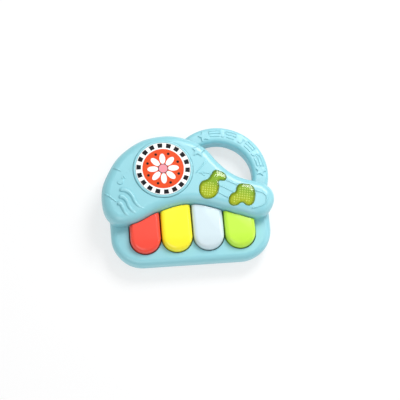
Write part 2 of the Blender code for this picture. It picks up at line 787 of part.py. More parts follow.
def key_block(x, growth, low, high, rim=0):
    # A round-ended bar whose upper end keeps its gap to the cover's arched edge.
    block = plate(key_outline(x, growth), low, high, high_round=rim)
    if rim:
        slope_front(block.data, high - rim)
    arch = grown(DOME, KEY_GAP - growth)
    return cut(block, plate(arch, low - CUT_PAST, high + CUT_PAST))


def slope_front(mesh, rim_low):
    # The top falls away towards the front end in a curve, and takes its rim with it.
    shape = bmesh.new()
    shape.from_mesh(mesh)
    start = KEY_END_Y + KEY_SLOPE
    for step in range(SLOPE_STEPS):
        line = start - KEY_SLOPE * step / SLOPE_STEPS
        everything = shape.verts[:] + shape.edges[:] + shape.faces[:]
        bmesh.ops.bisect_plane(shape, geom=everything, plane_co=(0, line, 0), plane_no=(0, 1, 0))
    for vertex in shape.verts:
        reach = (start - vertex.co.y) / KEY_SLOPE
        if reach > 0 and vertex.co.z > rim_low - FLAT:
            vertex.co.z -= KEY_DROP * reach**2
    shape.to_mesh(mesh)
    shape.free()


def make_key(x, colour_name, colour):
    skirt = DECK_Z - KEY_SKIRT
    lever_low = PIVOT_Z - LEVER_THICK / 2
    lever_high = PIVOT_Z + LEVER_THICK / 2
    key = key_block(x, 0, skirt, KEY_TOP_Z, KEY_ROUND)
    roof = KEY_TOP_Z - KEY_WALL
    inner = key_block(x, -KEY_WALL, skirt - CUT_PAST, roof, KEY_INNER_ROUND)
    half = LEVER_WIDTH / 2
    rib_half = half - RIB_THICK / 2
    rib_front = SWITCH_Y - RIB_THICK / 2
    rib_back = SWITCH_Y + RIB_THICK / 2
    under = skirt - 2 * CUT_PAST
    cut(inner, box(x - rib_half, x + rib_half, rib_front, rib_back, under, KEY_TOP_Z))
    cut(key, inner)
    lever_end = SWITCH_Y - PLUNGER_RADIUS - RIB_THICK
    join(key, box(x - half, x + half, lever_end, PIVOT_Y, lever_low, lever_high))
    plunger_low = KEY_RUBBER_Z + RUBBER_HEIGHT + SEAM
    join(key, drum(x, SWITCH_Y, PLUNGER_RADIUS, plunger_low, PIVOT_Z))
    length = KEY_PITCH - BRACKET_THICK - 2 * BARREL_CLEARANCE
    barrel = drum(0, 0, BARREL_RADIUS, 0, length)
    join(key, laid_along_x(barrel, x - length / 2, PIVOT_Y, PIVOT_Z))
    hole = bore(0, 0, ROD_RADIUS + ROD_CLEARANCE, 0, length + 2 * CUT_PAST)
    cut(key, laid_along_x(hole, x - length / 2 - CUT_PAST, PIVOT_Y, PIVOT_Z))
    material = finish("key_" + colour_name, colour, 0.25)
    return settle(key, "key_" + colour_name, material, (x, PIVOT_Y, PIVOT_Z))


def make_pivot_rod():
    rod = drum(0, 0, ROD_RADIUS, 0, rod_length())
    laid_along_x(rod, rod_left(), PIVOT_Y, PIVOT_Z)
    return settle(rod, "key_pivot_rod", finish("key_pivot_rod", STEEL, 0.3, 1.0))


def rubber_dome(name, x, y, z):
    wall = RUBBER_WALL
    roof = RUBBER_HEIGHT - 2 * wall
    profile = [
        (0, RUBBER_HEIGHT), (RUBBER_CROWN, RUBBER_HEIGHT), (RUBBER_RADIUS, wall),
        (RUBBER_RADIUS, 0), (RUBBER_RADIUS - wall, 0), (RUBBER_CROWN, roof), (0, roof),
    ]
    dome = turned(profile, SMALL_SIDES, x, y, z)
    return settle(dome, name, finish(name, SILICONE, 0.7))


# Round button


def make_button():
    x, y = BUTTON_AT
    top = BUTTON_TOP_Z
    floor = top - LABEL_RECESS
    recess = LABEL_RADIUS + SEAM
    flange = BUTTON_RADIUS + BUTTON_FLANGE
    flange_top = COLLAR_LOW - SEAM
    flange_low = flange_top - BUTTON_WALL
    inside = BUTTON_RADIUS - BUTTON_WALL
    roof = floor - BUTTON_WALL
    stem_low = BUTTON_RUBBER_Z + RUBBER_HEIGHT + SEAM
    profile = [
        (0, floor), (recess, floor), (recess, top), (BUTTON_RADIUS - BUTTON_ROUND, top),
        (BUTTON_RADIUS, top - BUTTON_ROUND), (BUTTON_RADIUS, flange_top), (flange, flange_top),
        (flange, flange_low), (inside, flange_low), (inside, roof), (BUTTON_STEM, roof),
        (BUTTON_STEM, stem_low), (0, stem_low),
    ]
    button = turned(profile, ROUND_SIDES, x, y)
    return settle(button, "melody_button", finish("melody_button", AQUA, 0.3), (x, y, top))


def make_label():
    x, y = BUTTON_AT
    low = BUTTON_TOP_Z - LABEL_RECESS + SEAM
    label = drum(x, y, LABEL_RADIUS, low, low + LABEL_THICK, ROUND_SIDES)
    return settle(label, "label_disc", finish("label_disc", LABEL_ORANGE, 0.4))


# Note windows and their lights


def make_lens(name):
    outline = NOTES[name]
    flange_top = COLLAR_LOW - SEAM
    flange_low = flange_top - LENS_FLANGE_THICK
    lens = plate(outline, flange_low, DOME_Z + LENS_RISE, high_round=LENS_ROUND)
    join(lens, plate(grown(outline, LENS_FLANGE), flange_low, flange_top))
    material = finish("note_lens_" + name, LENS_GREEN, 0.1, alpha=0.7)
    return settle(lens, "note_lens_" + name, material)


def make_led(name):
    x, y = LED_AT[name]
    profile = crowned(LED_RADIUS, LED_HEIGHT, LED_CROWN)
    led = turned(profile, SMALL_SIDES, x, y, LED_BOARD_Z + BOARD_THICK + SEAM)
    return settle(led, "led_" + name, finish("led_" + name, CLEAR_EPOXY, 0.1))


# Boards


def board(name, x, y, length, width, low, stakes):
    half = length / 2
    depth = width / 2
    sheet = box(x - half, x + half, y - depth, y + depth, low, low + BOARD_THICK)
    under = low - CUT_PAST
    over = low + BOARD_THICK + CUT_PAST
    for stake_x, stake_y in stakes:
        cut(sheet, bore(stake_x, stake_y, STAKE_HOLE, under, over, STAKE_SIDES))
    return settle(sheet, name, finish(name, BOARD_GREEN, 0.5))


def make_boards():
    key_stakes = [(KEY_ROW_X + step * KEY_PITCH, SWITCH_Y) for step in (-1, 0, 1)]
    switch_size = (SWITCH_BOARD_LENGTH, SWITCH_BOARD_WIDTH, SWITCH_BOARD_Z)
    board("key_switch_board", KEY_ROW_X, SWITCH_Y, *switch_size, key_stakes)
    main_size = (MAIN_BOARD_LENGTH, MAIN_BOARD_WIDTH, MAIN_BOARD_Z)
    board("main_board", *BAY_AT, *main_size, main_stakes())
    led_size = (LED_BOARD_LENGTH, LED_BOARD_WIDTH, LED_BOARD_Z)
    board("led_board", *LED_BOARD_AT, *led_size, led_stakes())


def make_chip():
    x, y = BAY_AT
    profile = crowned(CHIP_RADIUS, CHIP_HEIGHT, CHIP_HEIGHT)
    chip = turned(profile, SMALL_SIDES, x + CHIP_OFFSET, y, MAIN_TOP_Z + SEAM)
    return settle(chip, "sound_chip", finish("sound_chip", BLACK, 0.3))


# Speaker, facing the back


def make_speaker():
    x, y = SPEAKER_AT
    rim_top = SPEAKER_RIM
    neck = MAGNET_RADIUS
    wall = SPEAKER_RIM
    roof = SPEAKER_HEIGHT
    basket = [
        (0, roof), (neck, roof), (SPEAKER_RADIUS - wall, rim_top), (SPEAKER_RADIUS, rim_top),
        (SPEAKER_RADIUS, 0), (SPEAKER_RADIUS - 2 * wall, 0), (neck - wall, roof - wall),
        (0, roof - wall),
    ]
    frame = turned(basket, SPEAKER_SIDES, x, y, SPEAKER_Z)
    settle(frame, "speaker_frame", finish("speaker_frame", STEEL, 0.4, 1.0))
    magnet_low = SPEAKER_Z + SPEAKER_HEIGHT + SEAM
    magnet_top = magnet_low + MAGNET_HEIGHT
    magnet = drum(x, y, MAGNET_RADIUS, magnet_low, magnet_top, SPEAKER_SIDES)
    settle(magnet, "speaker_magnet", finish("speaker_magnet", BLACK, 0.5, 1.0))
    rim = SPEAKER_RADIUS - 2 * wall - 2 * SEAM
    paper = [
        (0, wall), (neck - 2 * wall, wall), (rim, SEAM), (rim, 0), (rim - wall, 0),
        (neck - 2 * wall, wall / 2), (0, wall / 2),
    ]
    cone = turned(paper, SPEAKER_SIDES, x, y, SPEAKER_Z)
    return settle(cone, "speaker_cone", finish("speaker_cone", BLACK, 0.8))


# Battery bay


def cell_rows():
    x, y = BAY_AT
    spread = BAY_WIDTH / 4
    return {"lower": y - spread, "upper": y + spread}


def cell_z():
    return BAY_DEPTH - CELL_RADIUS - SEAM


def make_cells():
    profile = [
        (0, CELL_LENGTH + NUB_LENGTH), (NUB_RADIUS, CELL_LENGTH + NUB_LENGTH),
        (NUB_RADIUS, CELL_LENGTH), (CELL_RADIUS, CELL_LENGTH), (CELL_RADIUS, 0), (0, 0),
    ]
    start = BAY_AT[0] - (CELL_LENGTH + NUB_LENGTH) / 2
    end = start + CELL_LENGTH + NUB_LENGTH
    for name, y in cell_rows().items():
        cell = turned(profile, CELL_SIDES)
        laid_along_x(cell, start, y, cell_z())
        if name == "upper":
            flip = Matrix.Translation((start + end, 2 * y, 0)) @ Matrix.Rotation(math.pi, 4, "Z")
            cell.data.transform(flip)
        settle(cell, "battery_" + name, finish("battery_" + name, CELL_GREY, 0.3, 0.6))


def leaf(name, wall_x, side, front, back):
    # A bowed strip that stands on the end wall and reaches for the cells.
    reach = CONTACT_ROOM - 2 * SEAM
    rise = 2 * CELL_RADIUS
    base = BAY_DEPTH - SEAM - rise
    radius = (reach**2 + (rise / 2) ** 2) / (2 * reach)
    spread = math.asin(rise / 2 / radius)
    centre = (reach - radius, rise / 2)
    inner_spread = spread * CONTACT_TAPER
    bow = arc(*centre, radius, -spread, spread, CONTACT_STEPS)
    inner = arc(*centre, radius - CONTACT_THICK, inner_spread, -inner_spread, CONTACT_STEPS)
    strip = plate(bow + inner, 0, back - front)
    stand = Matrix.Rotation(math.pi / 2, 4, "X")
    place = Matrix.Translation((wall_x + side * SEAM, back, base))
    strip.data.transform(place @ Matrix.Scale(side, 4, (1, 0, 0)) @ stand)
    if side < 0:
        strip.data.flip_normals()
    return settle(strip, name, finish(name, CONTACT_NICKEL, 0.3, 1.0))


def make_contacts():
    x, y = BAY_AT
    left = x - BAY_LENGTH / 2
    right = x + BAY_LENGTH / 2
    half = CONTACT_WIDTH / 2
    rows = cell_rows()
    leaf("contact_bridge", left, 1, rows["lower"] - half, rows["upper"] + half)
    leaf("contact_plus", right, -1, rows["lower"] - half, rows["lower"] + half)
    leaf("contact_minus", right, -1, rows["upper"] - half, rows["upper"] + half)


def make_door():
    x, y = BAY_AT
    door = plate(door_outline(0), 0, DOOR_THICK)
    head_z = DOOR_THICK / 2
    for side, name in ((-1, "left"), (1, "right")):
        screw_x = x + side * (BAY_LENGTH / 2 + DOOR_END / 2)
        cut(door, bore(screw_x, y, SCREW_HEAD + SCREW_CLEARANCE, -CUT_PAST, head_z + SEAM))
        cut(door, bore(screw_x, y, SCREW_HOLE, 0, DOOR_THICK + CUT_PAST))
        low = SEAM
        tip = DOOR_SEAT_Z + DOOR_GRIP - SEAM
        screw("door_screw_" + name, screw_x, y, low, head_z, tip)
    return settle(door, "battery_door", finish("battery_door", AQUA, 0.35), (x, y, 0))


# Slide switch


def make_switch():
    x, y = SWITCH_AT
    pad_x = SLIDER_LENGTH / 2
    pad_y = SLIDER_WIDTH / 2
    pad_top = SLIDER_POCKET - SEAM
    slider = box(x - pad_x, x + pad_x, y - pad_y, y + pad_y, SEAM, pad_top)
    stem_x = STEM_LENGTH / 2
    stem_y = STEM_WIDTH / 2
    stem_top = WALL + STEM_HEIGHT
    stem_low = (SEAM + pad_top) / 2
    join(slider, box(x - stem_x, x + stem_x, y - stem_y, y + stem_y, stem_low, stem_top))
    settle(slider, "power_slider", finish("power_slider", BLACK, 0.5), (x, y, 0))
    length, width, height = SWITCH_BODY
    middle = x + SLIDER_TRAVEL / 2
    low = WALL + SEAM
    left = middle - length / 2
    right = middle + length / 2
    body = box(left, right, y - width / 2, y + width / 2, low, low + height)
    room_x = stem_x + SLIDER_CLEARANCE
    room_y = stem_y + SLIDER_CLEARANCE
    far = x + SLIDER_TRAVEL + room_x
    cut(body, box(x - room_x, far, y - room_y, y + room_y, 0, stem_top + SLIDER_CLEARANCE))
    return settle(body, "power_switch", finish("power_switch", STEEL, 0.35, 1.0))


# Screws


def screw(name, x, y, head_low, head_high, tip):
    profile = [
        (0, tip), (SCREW_RADIUS / 2, tip), (SCREW_RADIUS, tip - SCREW_RADIUS),
        (SCREW_RADIUS, head_high), (SCREW_HEAD, head_high), (SCREW_HEAD, head_low), (0, head_low),
    ]
    obj = turned(profile, SMALL_SIDES, x, y)
    return settle(obj, name, finish(name, STEEL, 0.35, 1.0))


def make_housing_screws():
    head_high = SCREW_SEAT_Z - SEAM
    head_low = head_high - SCREW_HEAD_HEIGHT
    long_tip = DECK_Z + LONG_GRIP
    short_tip = PARTING_Z + SHORT_GRIP
    tips = [long_tip] * len(LONG_SCREWS) + [short_tip] * len(SHORT_SCREWS)
    for index, ((x, y), tip) in enumerate(zip(LONG_SCREWS + SHORT_SCREWS, tips), 1):
        screw(f"housing_screw_{index}", x, y, head_low, head_high, tip)


clear_scene()
PARTS = named_collection("toy_keyboard")
DOME = smooth_outline(DOME_KNOTS, OUTLINE_STEPS)
TRAY = tray_outline()
NOTES = {name: smooth_outline(knots, NOTE_STEPS) for name, knots in NOTE_KNOTS.items()}

make_rear_cover()
make_key_frame()
make_dome_cover()
for place, (key_name, key_colour) in zip(key_places(), KEY_COLOURS.items()):
    make_key(place, key_name, key_colour)
    rubber_dome("key_dome_" + key_name, place, SWITCH_Y, KEY_RUBBER_Z)
make_pivot_rod()
make_button()
make_label()
rubber_dome("button_dome", *BUTTON_AT, BUTTON_RUBBER_Z)
for note in NOTES:
    make_lens(note)
    make_led(note)
make_boards()
make_chip()
make_speaker()
make_cells()
make_contacts()
make_door()
make_switch()
make_housing_screws()
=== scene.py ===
import math

import bmesh
import bpy
from mathutils import Matrix, Vector


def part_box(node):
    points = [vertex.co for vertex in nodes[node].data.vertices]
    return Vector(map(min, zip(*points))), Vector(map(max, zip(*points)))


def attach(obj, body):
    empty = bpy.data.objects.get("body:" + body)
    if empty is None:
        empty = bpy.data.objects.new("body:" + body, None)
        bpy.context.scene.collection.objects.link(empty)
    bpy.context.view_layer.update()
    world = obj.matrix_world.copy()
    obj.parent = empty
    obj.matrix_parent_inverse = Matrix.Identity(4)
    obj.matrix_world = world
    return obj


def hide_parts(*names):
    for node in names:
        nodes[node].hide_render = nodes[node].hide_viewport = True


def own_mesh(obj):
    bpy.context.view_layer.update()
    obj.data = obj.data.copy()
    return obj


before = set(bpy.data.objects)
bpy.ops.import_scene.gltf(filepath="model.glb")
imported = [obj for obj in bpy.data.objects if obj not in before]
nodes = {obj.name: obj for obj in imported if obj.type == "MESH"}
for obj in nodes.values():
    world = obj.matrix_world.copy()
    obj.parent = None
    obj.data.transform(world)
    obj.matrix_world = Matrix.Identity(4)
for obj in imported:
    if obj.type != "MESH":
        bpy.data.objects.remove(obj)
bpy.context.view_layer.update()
mm = 0.001
weld = 0.002 * mm  # points closer than this are one
hair = 0.01 * mm  # keeps two round corners from meeting in one point
past = 1 * mm  # how far a cutter reaches past what it cuts
far = 200 * mm
smoothAngle = 35
for spare in ("Cube", "Camera", "Light"):  # what an unsaved file starts with
    if spare in bpy.data.objects:
        bpy.data.objects.remove(bpy.data.objects[spare])
print("frame loaded:", len(nodes), "nodes")


# small tools

def inMm(lengths, **others):
    return {name: length * mm for name, length in lengths.items()} | others


def focus(obj):
    if bpy.context.mode != "OBJECT":
        bpy.ops.object.mode_set(mode="OBJECT")
    bpy.ops.object.select_all(action="DESELECT")
    obj.select_set(True)
    bpy.context.view_layer.objects.active = obj


def startEdit(obj, kind="EDGE"):
    focus(obj)
    bpy.ops.object.mode_set(mode="EDIT")
    bpy.ops.mesh.select_mode(type=kind)
    bpy.ops.mesh.select_all(action="DESELECT")


def stopEdit():
    bpy.ops.object.mode_set(mode="OBJECT")


def selectAll():  # in edit mode
    bpy.ops.mesh.select_all(action="SELECT")


def faceOutwards():
    selectAll()
    bpy.ops.mesh.normals_make_consistent(inside=False)


def pick(obj, parts, test):  # selects the verts, edges or faces that pass the test
    bpy.ops.mesh.select_all(action="DESELECT")
    shape = bmesh.from_edit_mesh(obj.data)
    shape.normal_update()
    for part in getattr(shape, parts):
        part.select_set(test(part))
    shape.select_flush_mode()
    bmesh.update_edit_mesh(obj.data)


def applyModifier(obj, kind, **settings):
    focus(obj)
    modifier = obj.modifiers.new(kind.lower(), kind)
    for name, value in settings.items():
        setattr(modifier, name, value)
    bpy.ops.object.modifier_apply(modifier=modifier.name)


def combine(target, operation, *tools):
    for tool in tools:
        applyModifier(target, "BOOLEAN", operation=operation, solver="MANIFOLD", object=tool)
        bpy.data.objects.remove(tool)
    return target


def join(target, *tools):
    return combine(target, "UNION", *tools)


def cut(target, *tools):
    return combine(target, "DIFFERENCE", *tools)


def mergePoints(obj, distance=weld):
    startEdit(obj)
    selectAll()
    bpy.ops.mesh.remove_doubles(threshold=distance)
    faceOutwards()
    stopEdit()


def healed(obj):  # doubled faces, small holes, crumbs and closed pockets left by the booleans go
    startEdit(obj, "FACE")
    shape = bmesh.from_edit_mesh(obj.data)
    sharing = {}
    for face in shape.faces:
        sharing.setdefault(frozenset(face.verts), []).append(face)
    doubled = [face for faces in sharing.values() if len(faces) > 1 for face in faces]
    bmesh.ops.delete(shape, geom=doubled, context="FACES")
    bmesh.update_edit_mesh(obj.data)
    selectAll()
    bpy.ops.mesh.fill_holes(sides=8)
    faceOutwards()
    bpy.ops.mesh.separate(type="LOOSE")
    stopEdit()
    parts = sorted(bpy.context.selected_objects, key=lambda part: len(part.data.vertices))
    for crumb in parts[:-1]:
        bpy.data.objects.remove(crumb)
    return parts[-1]


def newObject(name, data):
    obj = bpy.data.objects.new(name, data)
    bpy.context.scene.collection.objects.link(obj)
    return obj


def nodeCopy(name):  # a CAD node's triangles, merged into a closed solid
    copy = newObject("copy", nodes[name].data.copy())
    mergePoints(copy)
    return copy


def copyTo(master, x, y, z):  # a copy with a mesh of its own
    copy = newObject(master.name, master.data.copy())
    copy.data.transform(Matrix.Translation((x, y, z)))
    return copy


def settle(obj, name, body, materials, node, keepFlats=True):
    focus(obj)
    bpy.ops.object.shade_smooth_by_angle(angle=math.radians(smoothAngle))
    if keepFlats:
        applyModifier(obj, "WEIGHTED_NORMAL", keep_sharp=True, weight=100)
    obj.name = obj.data.name = name
    obj.data.materials.clear()
    for material in materials:
        obj.data.materials.append(material)
    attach(obj, body)
    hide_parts(node)
    return obj


# outlines and solids

def polar(x, y, reach, angle):
    return Vector((x + reach * math.cos(angle), y + reach * math.sin(angle)))


def smoothLoop(knots, steps, closed=True):
    curve = bpy.data.curves.new("loop", "CURVE")
    curve.resolution_u = steps
    spline = curve.splines.new("BEZIER")
    spline.bezier_points.add(len(knots) - 1)
    for point, (x, y) in zip(spline.bezier_points, knots):
        point.co = (x * mm, y * mm, 0)
        point.handle_left_type = point.handle_right_type = "AUTO"
    spline.use_cyclic_u = closed
    focus(newObject("loop", curve))
    bpy.ops.object.convert(target="MESH")
    guide = bpy.context.object
    loop = [vertex.co.to_2d() for vertex in guide.data.vertices]
    bpy.data.objects.remove(guide)
    return loop


def grownLoop(loop, distance):  # every side moves out by the distance
    following = loop[1:] + loop[:1]
    turn = 1 if sum(a.cross(b) for a, b in zip(loop, following)) > 0 else -1
    moved = []
    for index, point in enumerate(loop):
        before = (point - loop[index - 1]).normalized()
        after = (following[index] - point).normalized()
        first = Vector((before.y, -before.x)) * turn
        second = Vector((after.y, -after.x)) * turn
        moved.append(point + (first + second) * distance / (1 + first.dot(second)))
    return moved


def spotToSide(spot, a, b):
    along = b - a
    share = max(0, min(1, (spot - a).dot(along) / along.length_squared))
    return (spot - a - along * share).length


def toEdge(spot, loop):  # how far a point is from an outline
    return min(spotToSide(spot, a, b) for a, b in zip(loop, loop[1:] + loop[:1]))


def roundRims(obj, rims, segments):  # rims: (height, radius) pairs
    startEdit(obj)
    for height, radius in rims:
        if radius:
            pick(obj, "edges", lambda e: all(abs(v.co.z - height) < 1e-7 for v in e.verts))
            bpy.ops.mesh.bevel(offset=radius, segments=segments, clamp_overlap=False)
    faceOutwards()
    stopEdit()


def extrudeUp(obj, height):
    startEdit(obj, "FACE")
    selectAll()
    bpy.ops.mesh.extrude_region_move(TRANSFORM_OT_translate={"value": (0, 0, height)})
    faceOutwards()
    stopEdit()


def loopSlab(loop, low, high, topRound=0, lowRound=0, segments=8):
    mesh = bpy.data.meshes.new("slab")
    mesh.from_pydata([(x, y, low) for x, y in loop], [], [range(len(loop))])
    obj = newObject("slab", mesh)
    extrudeUp(obj, high - low)
    roundRims(obj, ((high, topRound), (low, lowRound)), segments)
    return obj


def roundedPlane(sides, corner, segments, frontOnly=False):
    left, right, front, back = sides
    bpy.ops.mesh.primitive_plane_add(size=1)
    obj = bpy.context.object
    obj.scale = (right - left, back - front, 1)
    obj.location = ((left + right) / 2, (front + back) / 2, 0)
    bpy.ops.object.transform_apply()
    if corner:
        startEdit(obj, "VERT")
        pick(obj, "verts", lambda v: not frontOnly or v.co.y < (front + back) / 2)
        bpy.ops.mesh.bevel(offset=corner, segments=segments, affect="VERTICES", clamp_overlap=False)
        selectAll()
        bpy.ops.mesh.remove_doubles(threshold=weld)
        stopEdit()
    return obj


def plateSlab(sides, low, high, corner=0, cornerSteps=8, topRound=0, lowRound=0, segments=8,
              frontOnly=False):  # frontOnly: just the two corners at the keys' free ends are round
    obj = roundedPlane(sides, corner, cornerSteps, frontOnly)
    focus(obj)
    obj.location.z = low
    bpy.ops.object.transform_apply()
    extrudeUp(obj, high - low)
    roundRims(obj, ((high, topRound), (low, lowRound)), segments)
    return obj


def block(left, right, front, back, low, high):
    return plateSlab((left, right, front, back), low, high)


def around(x, y, length, width):
    return (x - length / 2, x + length / 2, y - width / 2, y + width / 2)


def rows(count, pitch):  # evenly spaced about the middle
    return [(row - (count - 1) / 2) * pitch for row in range(count)]


def drum(x, y, radius, low, high, sides):
    bpy.ops.mesh.primitive_cylinder_add(vertices=sides, radius=radius, depth=high - low,
                                        location=(x, y, (low + high) / 2))
    bpy.ops.object.transform_apply()
    return bpy.context.object


def turnedProfile(name, profile, x, y, steps):  # profile: (radius, height) from the axis and back to it
    mesh = bpy.data.meshes.new(name)
    points = [(x + radius, y, height) for radius, height in profile]
    mesh.from_pydata(points, [(index, index + 1) for index in range(len(points) - 1)], [])
    obj = newObject(name, mesh)
    startEdit(obj)
    selectAll()
    bpy.ops.mesh.spin(steps=steps, angle=2 * math.pi, center=(x, y, 0), axis=(0, 0, 1))
    mergePoints(obj)
    return obj


def quarterArc(x, z, radius, start, steps=6):  # a quarter turn clockwise from the start angle
    angles = [math.radians(start - 90 * step / steps) for step in range(steps + 1)]
    return [(x + radius * math.cos(a), z + radius * math.sin(a)) for a in angles]


beadSet = {"facets": 4, "ends": (0.4, 0.85, 1)}  # a line narrows over its last points


def bead(path, radius, closed=False, widths=None):  # a round line through points in space
    curve = bpy.data.curves.new("bead", "CURVE")
    curve.dimensions = "3D"
    curve.bevel_depth = radius
    curve.bevel_resolution = beadSet["facets"]
    curve.use_fill_caps = True
    spline = curve.splines.new("POLY")
    spline.points.add(len(path) - 1)
    spline.use_cyclic_u = closed
    for index, (point, spot) in enumerate(zip(spline.points, path)):
        point.co = (*spot, 1)
        inward = min(index, len(path) - 1 - index)
        point.radius = widths[index] if widths else 1 if closed else beadSet["ends"][min(inward, 2)]
    focus(newObject("bead", curve))
    bpy.ops.object.convert(target="MESH")
    obj = bpy.context.object
    mergePoints(obj)
    return obj


starSet = {"waist": 0.55, "tip": 5, "notch": 3}  # tip and notch: degrees that blunt the corners


def starLoop(x, y, reach, turn):  # five blunt points
    loop = []
    for corner in range(10):
        outer = corner % 2 == 0
        length = reach if outer else reach * starSet["waist"]
        spread = starSet["tip" if outer else "notch"]
        for nudge in (-spread, spread):
            loop.append(polar(x, y, length, math.radians(turn + 36 * corner + nudge)))
    return loop


def ovalLoop(x, y, long, wide, turn, steps=24):
    loop = []
    for step in range(steps):
        angle = 2 * math.pi * step / steps
        spot = Vector((long * math.cos(angle), wide * math.sin(angle)))
        spot.rotate(Matrix.Rotation(math.radians(turn), 2))
        loop.append(spot + Vector((x, y)))
    return loop


# materials

def linear(hexText):
    channels = [int(hexText[place:place + 2], 16) / 255 for place in (1, 3, 5)]
    return [c / 12.92 if c <= 0.04045 else ((c + 0.055) / 1.055) ** 2.4 for c in channels] + [1]


def addNode(tree, kind, settings, links=None):
    node = tree.nodes.new(kind)
    for name, value in settings.items():
        if name in node.inputs:
            node.inputs[name].default_value = value
        else:
            setattr(node, name, value)
    for name, source in (links or {}).items():
        tree.links.new(source, node.inputs[name])  # by name or by place
    return node


def startMaterial(name):
    material = bpy.data.materials.new(name)
    material.use_nodes = True
    tree = material.node_tree
    coords = addNode(tree, "ShaderNodeTexCoord", {}).outputs["Object"]
    return material, tree, tree.nodes["Principled BSDF"], coords


def layTones(tree, shader, tones, share, grain, gloss, constants):
    # Two colours by their share, a roughness that follows the grain, and what is the same all over.
    tint = addNode(tree, "ShaderNodeMix", {"data_type": "RGBA"}, {"Factor": share})
    for socket, tone in zip((6, 7), tones):
        tint.inputs[socket].default_value = linear(tone)
    tree.links.new(tint.outputs[2], shader.inputs["Base Color"])
    roughness, spread = gloss
    drift = addNode(tree, "ShaderNodeMapRange",
                    {"To Min": roughness - spread, "To Max": roughness + spread}, {"Value": grain})
    tree.links.new(drift.outputs["Result"], shader.inputs["Roughness"])
    for socket, value in constants.items():
        shader.inputs[socket.replace("_", " ")].default_value = value


def speckled(name, pale, deep, patch, roughness, spread=0.05, peel=None, **constants):
    # Two near colours drift over patches of the given size in mm, the gloss drifts with them, and
    # peel (spacing in mm, depth in mm) is the surface's own unevenness.
    material, tree, shader, coords = startMaterial(name)
    drift = addNode(tree, "ShaderNodeTexNoise", {"Scale": 1000 / patch, "Detail": 3},
                    {"Vector": coords}).outputs["Fac"]
    layTones(tree, shader, (pale, deep), drift, drift, (roughness, spread), constants)
    if peel:
        spacing, depth = peel
        waves = addNode(tree, "ShaderNodeTexNoise", {"Scale": 1000 / spacing, "Detail": 2},
                        {"Vector": coords}).outputs["Fac"]
        bump = addNode(tree, "ShaderNodeBump", {"Strength": 1, "Distance": depth * mm},
                       {"Height": waves})
        tree.links.new(bump.outputs["Normal"], shader.inputs["Normal"])
    return material


# Moulded ABS: opaque, an even satin gloss, with a faint orange peel left by the mould. The real
# peel is finer than a pixel, so it is drawn at 3 mm to show.
absPeel = (3, 0.02)
absGloss = {"IOR": 1.53, "Specular_IOR_Level": 1.0, "Coat_Weight": 0.25, "Coat_Roughness": 0.14}
aquaAbs = speckled("mouldedAbsAqua", "#89ced9", "#82c8d4", 45, 0.46, peel=absPeel, **absGloss)
keyGloss = {"IOR": 1.53, "Specular_IOR_Level": 0.3, "Coat_Weight": 0.5, "Coat_Roughness": 0.1}
keyTones = {
    "red": ("mouldedAbsRed", "#fb4f3c", "#f64836"), "yellow": ("mouldedAbsYellow", "#fff42c", "#fbed22"),
    "blue": ("mouldedAbsPaleBlue", "#d6e7ed", "#cfe2e9"), "green": ("mouldedAbsLime", "#c6f449", "#bded3c"),
}
keyAbs = {}
for colour, tones in keyTones.items():
    keyAbs[colour] = speckled(*tones, 30, 0.32, peel=absPeel, **keyGloss)
# Printed vinyl: flat ink under a thin satin film.
film = {"peel": (1.5, 0.004), "Specular_IOR_Level": 0.15}
inks = [speckled("printedVinyl" + ink, pale, deep, 12, gloss, **film) for ink, pale, deep, gloss in (
    ("White", "#fbfbfa", "#f4f4f3", 0.4), ("Dark", "#17141b", "#121017", 0.45),
    ("Orange", "#e85226", "#e24b20", 0.4), ("Pink", "#f49aa6", "#ee8f9c", 0.4))]
white, dark, orange, pink = range(len(inks))

# Tinted polycarbonate: clear and glossy, so its frosted inner face shows through. The tint is
# yellower in the notes' heads and greener in their flags, and its grain is 1.5 mm.
tintSet = {"slant": (0.4, 1, 0), "heads": 7 * mm, "flags": 17 * mm, "grain": 1.5}


def tinted(name, heads, flags, roughness, spread, **constants):
    t = tintSet
    material, tree, shader, coords = startMaterial(name)
    slant = addNode(tree, "ShaderNodeVectorMath", {"operation": "DOT_PRODUCT"}, {0: coords})
    slant.inputs[1].default_value = t["slant"]
    share = addNode(tree, "ShaderNodeMapRange", {"From Min": t["heads"], "From Max": t["flags"]},
                    {"Value": slant.outputs["Value"]}).outputs["Result"]
    grain = addNode(tree, "ShaderNodeTexNoise", {"Scale": 1000 / t["grain"], "Detail": 2},
                    {"Vector": coords}).outputs["Fac"]
    layTones(tree, shader, (heads, flags), share, grain, (roughness, spread), constants)
    return material


lensGloss = {"IOR": 1.58, "Specular_IOR_Level": 0.6, "Coat_Weight": 1.0, "Coat_Roughness": 0.13}
lensTop = tinted("tintedPolycarbonate", "#c8dc00", "#9ccc14", 0.1, 0.02, Alpha=0.38, **lensGloss)
lensRim = tinted("tintedPolycarbonateRim", "#9cc23c", "#86b83c", 0.1, 0.02, Alpha=0.9, **lensGloss)
# The windows' inner faces are frosted. Their moulded dots are coloured paler than the frost, a painted glint
# for the light they catch.
lensFrost = tinted("frostedPolycarbonate", "#a2b000", "#86ac0c", 0.6, 0.08, IOR=1.58)
lensDotsPaintedGlint = tinted("frostedPolycarbonateDots", "#f8ff98", "#ecf690", 0.5, 0.08, IOR=1.58)
# Zinc-plated steel: bright, with a cloudy plating.
zincSteel = speckled("zincPlatedSteel", "#c3c4c6", "#aeb0b3", 3, 0.3, 0.08, Metallic=1.0)
# Nickel-plated spring steel: warm, bright strip.
nickelSpring = speckled("nickelPlatedSpring", "#d8cfbd", "#c6bba6", 3, 0.25, 0.06, Metallic=1.0)
# Silicone rubber: dull, soft sheen.
silicone = speckled("siliconeRubber", "#c9c9c6", "#bcbcb9", 4, 0.6, peel=(0.8, 0.01), IOR=1.41)
# Glass-epoxy board: green mask over a faint weave.
boardGreen = speckled("glassEpoxyBoard", "#1f6b3c", "#185a31", 2, 0.4, peel=(0.8, 0.01))
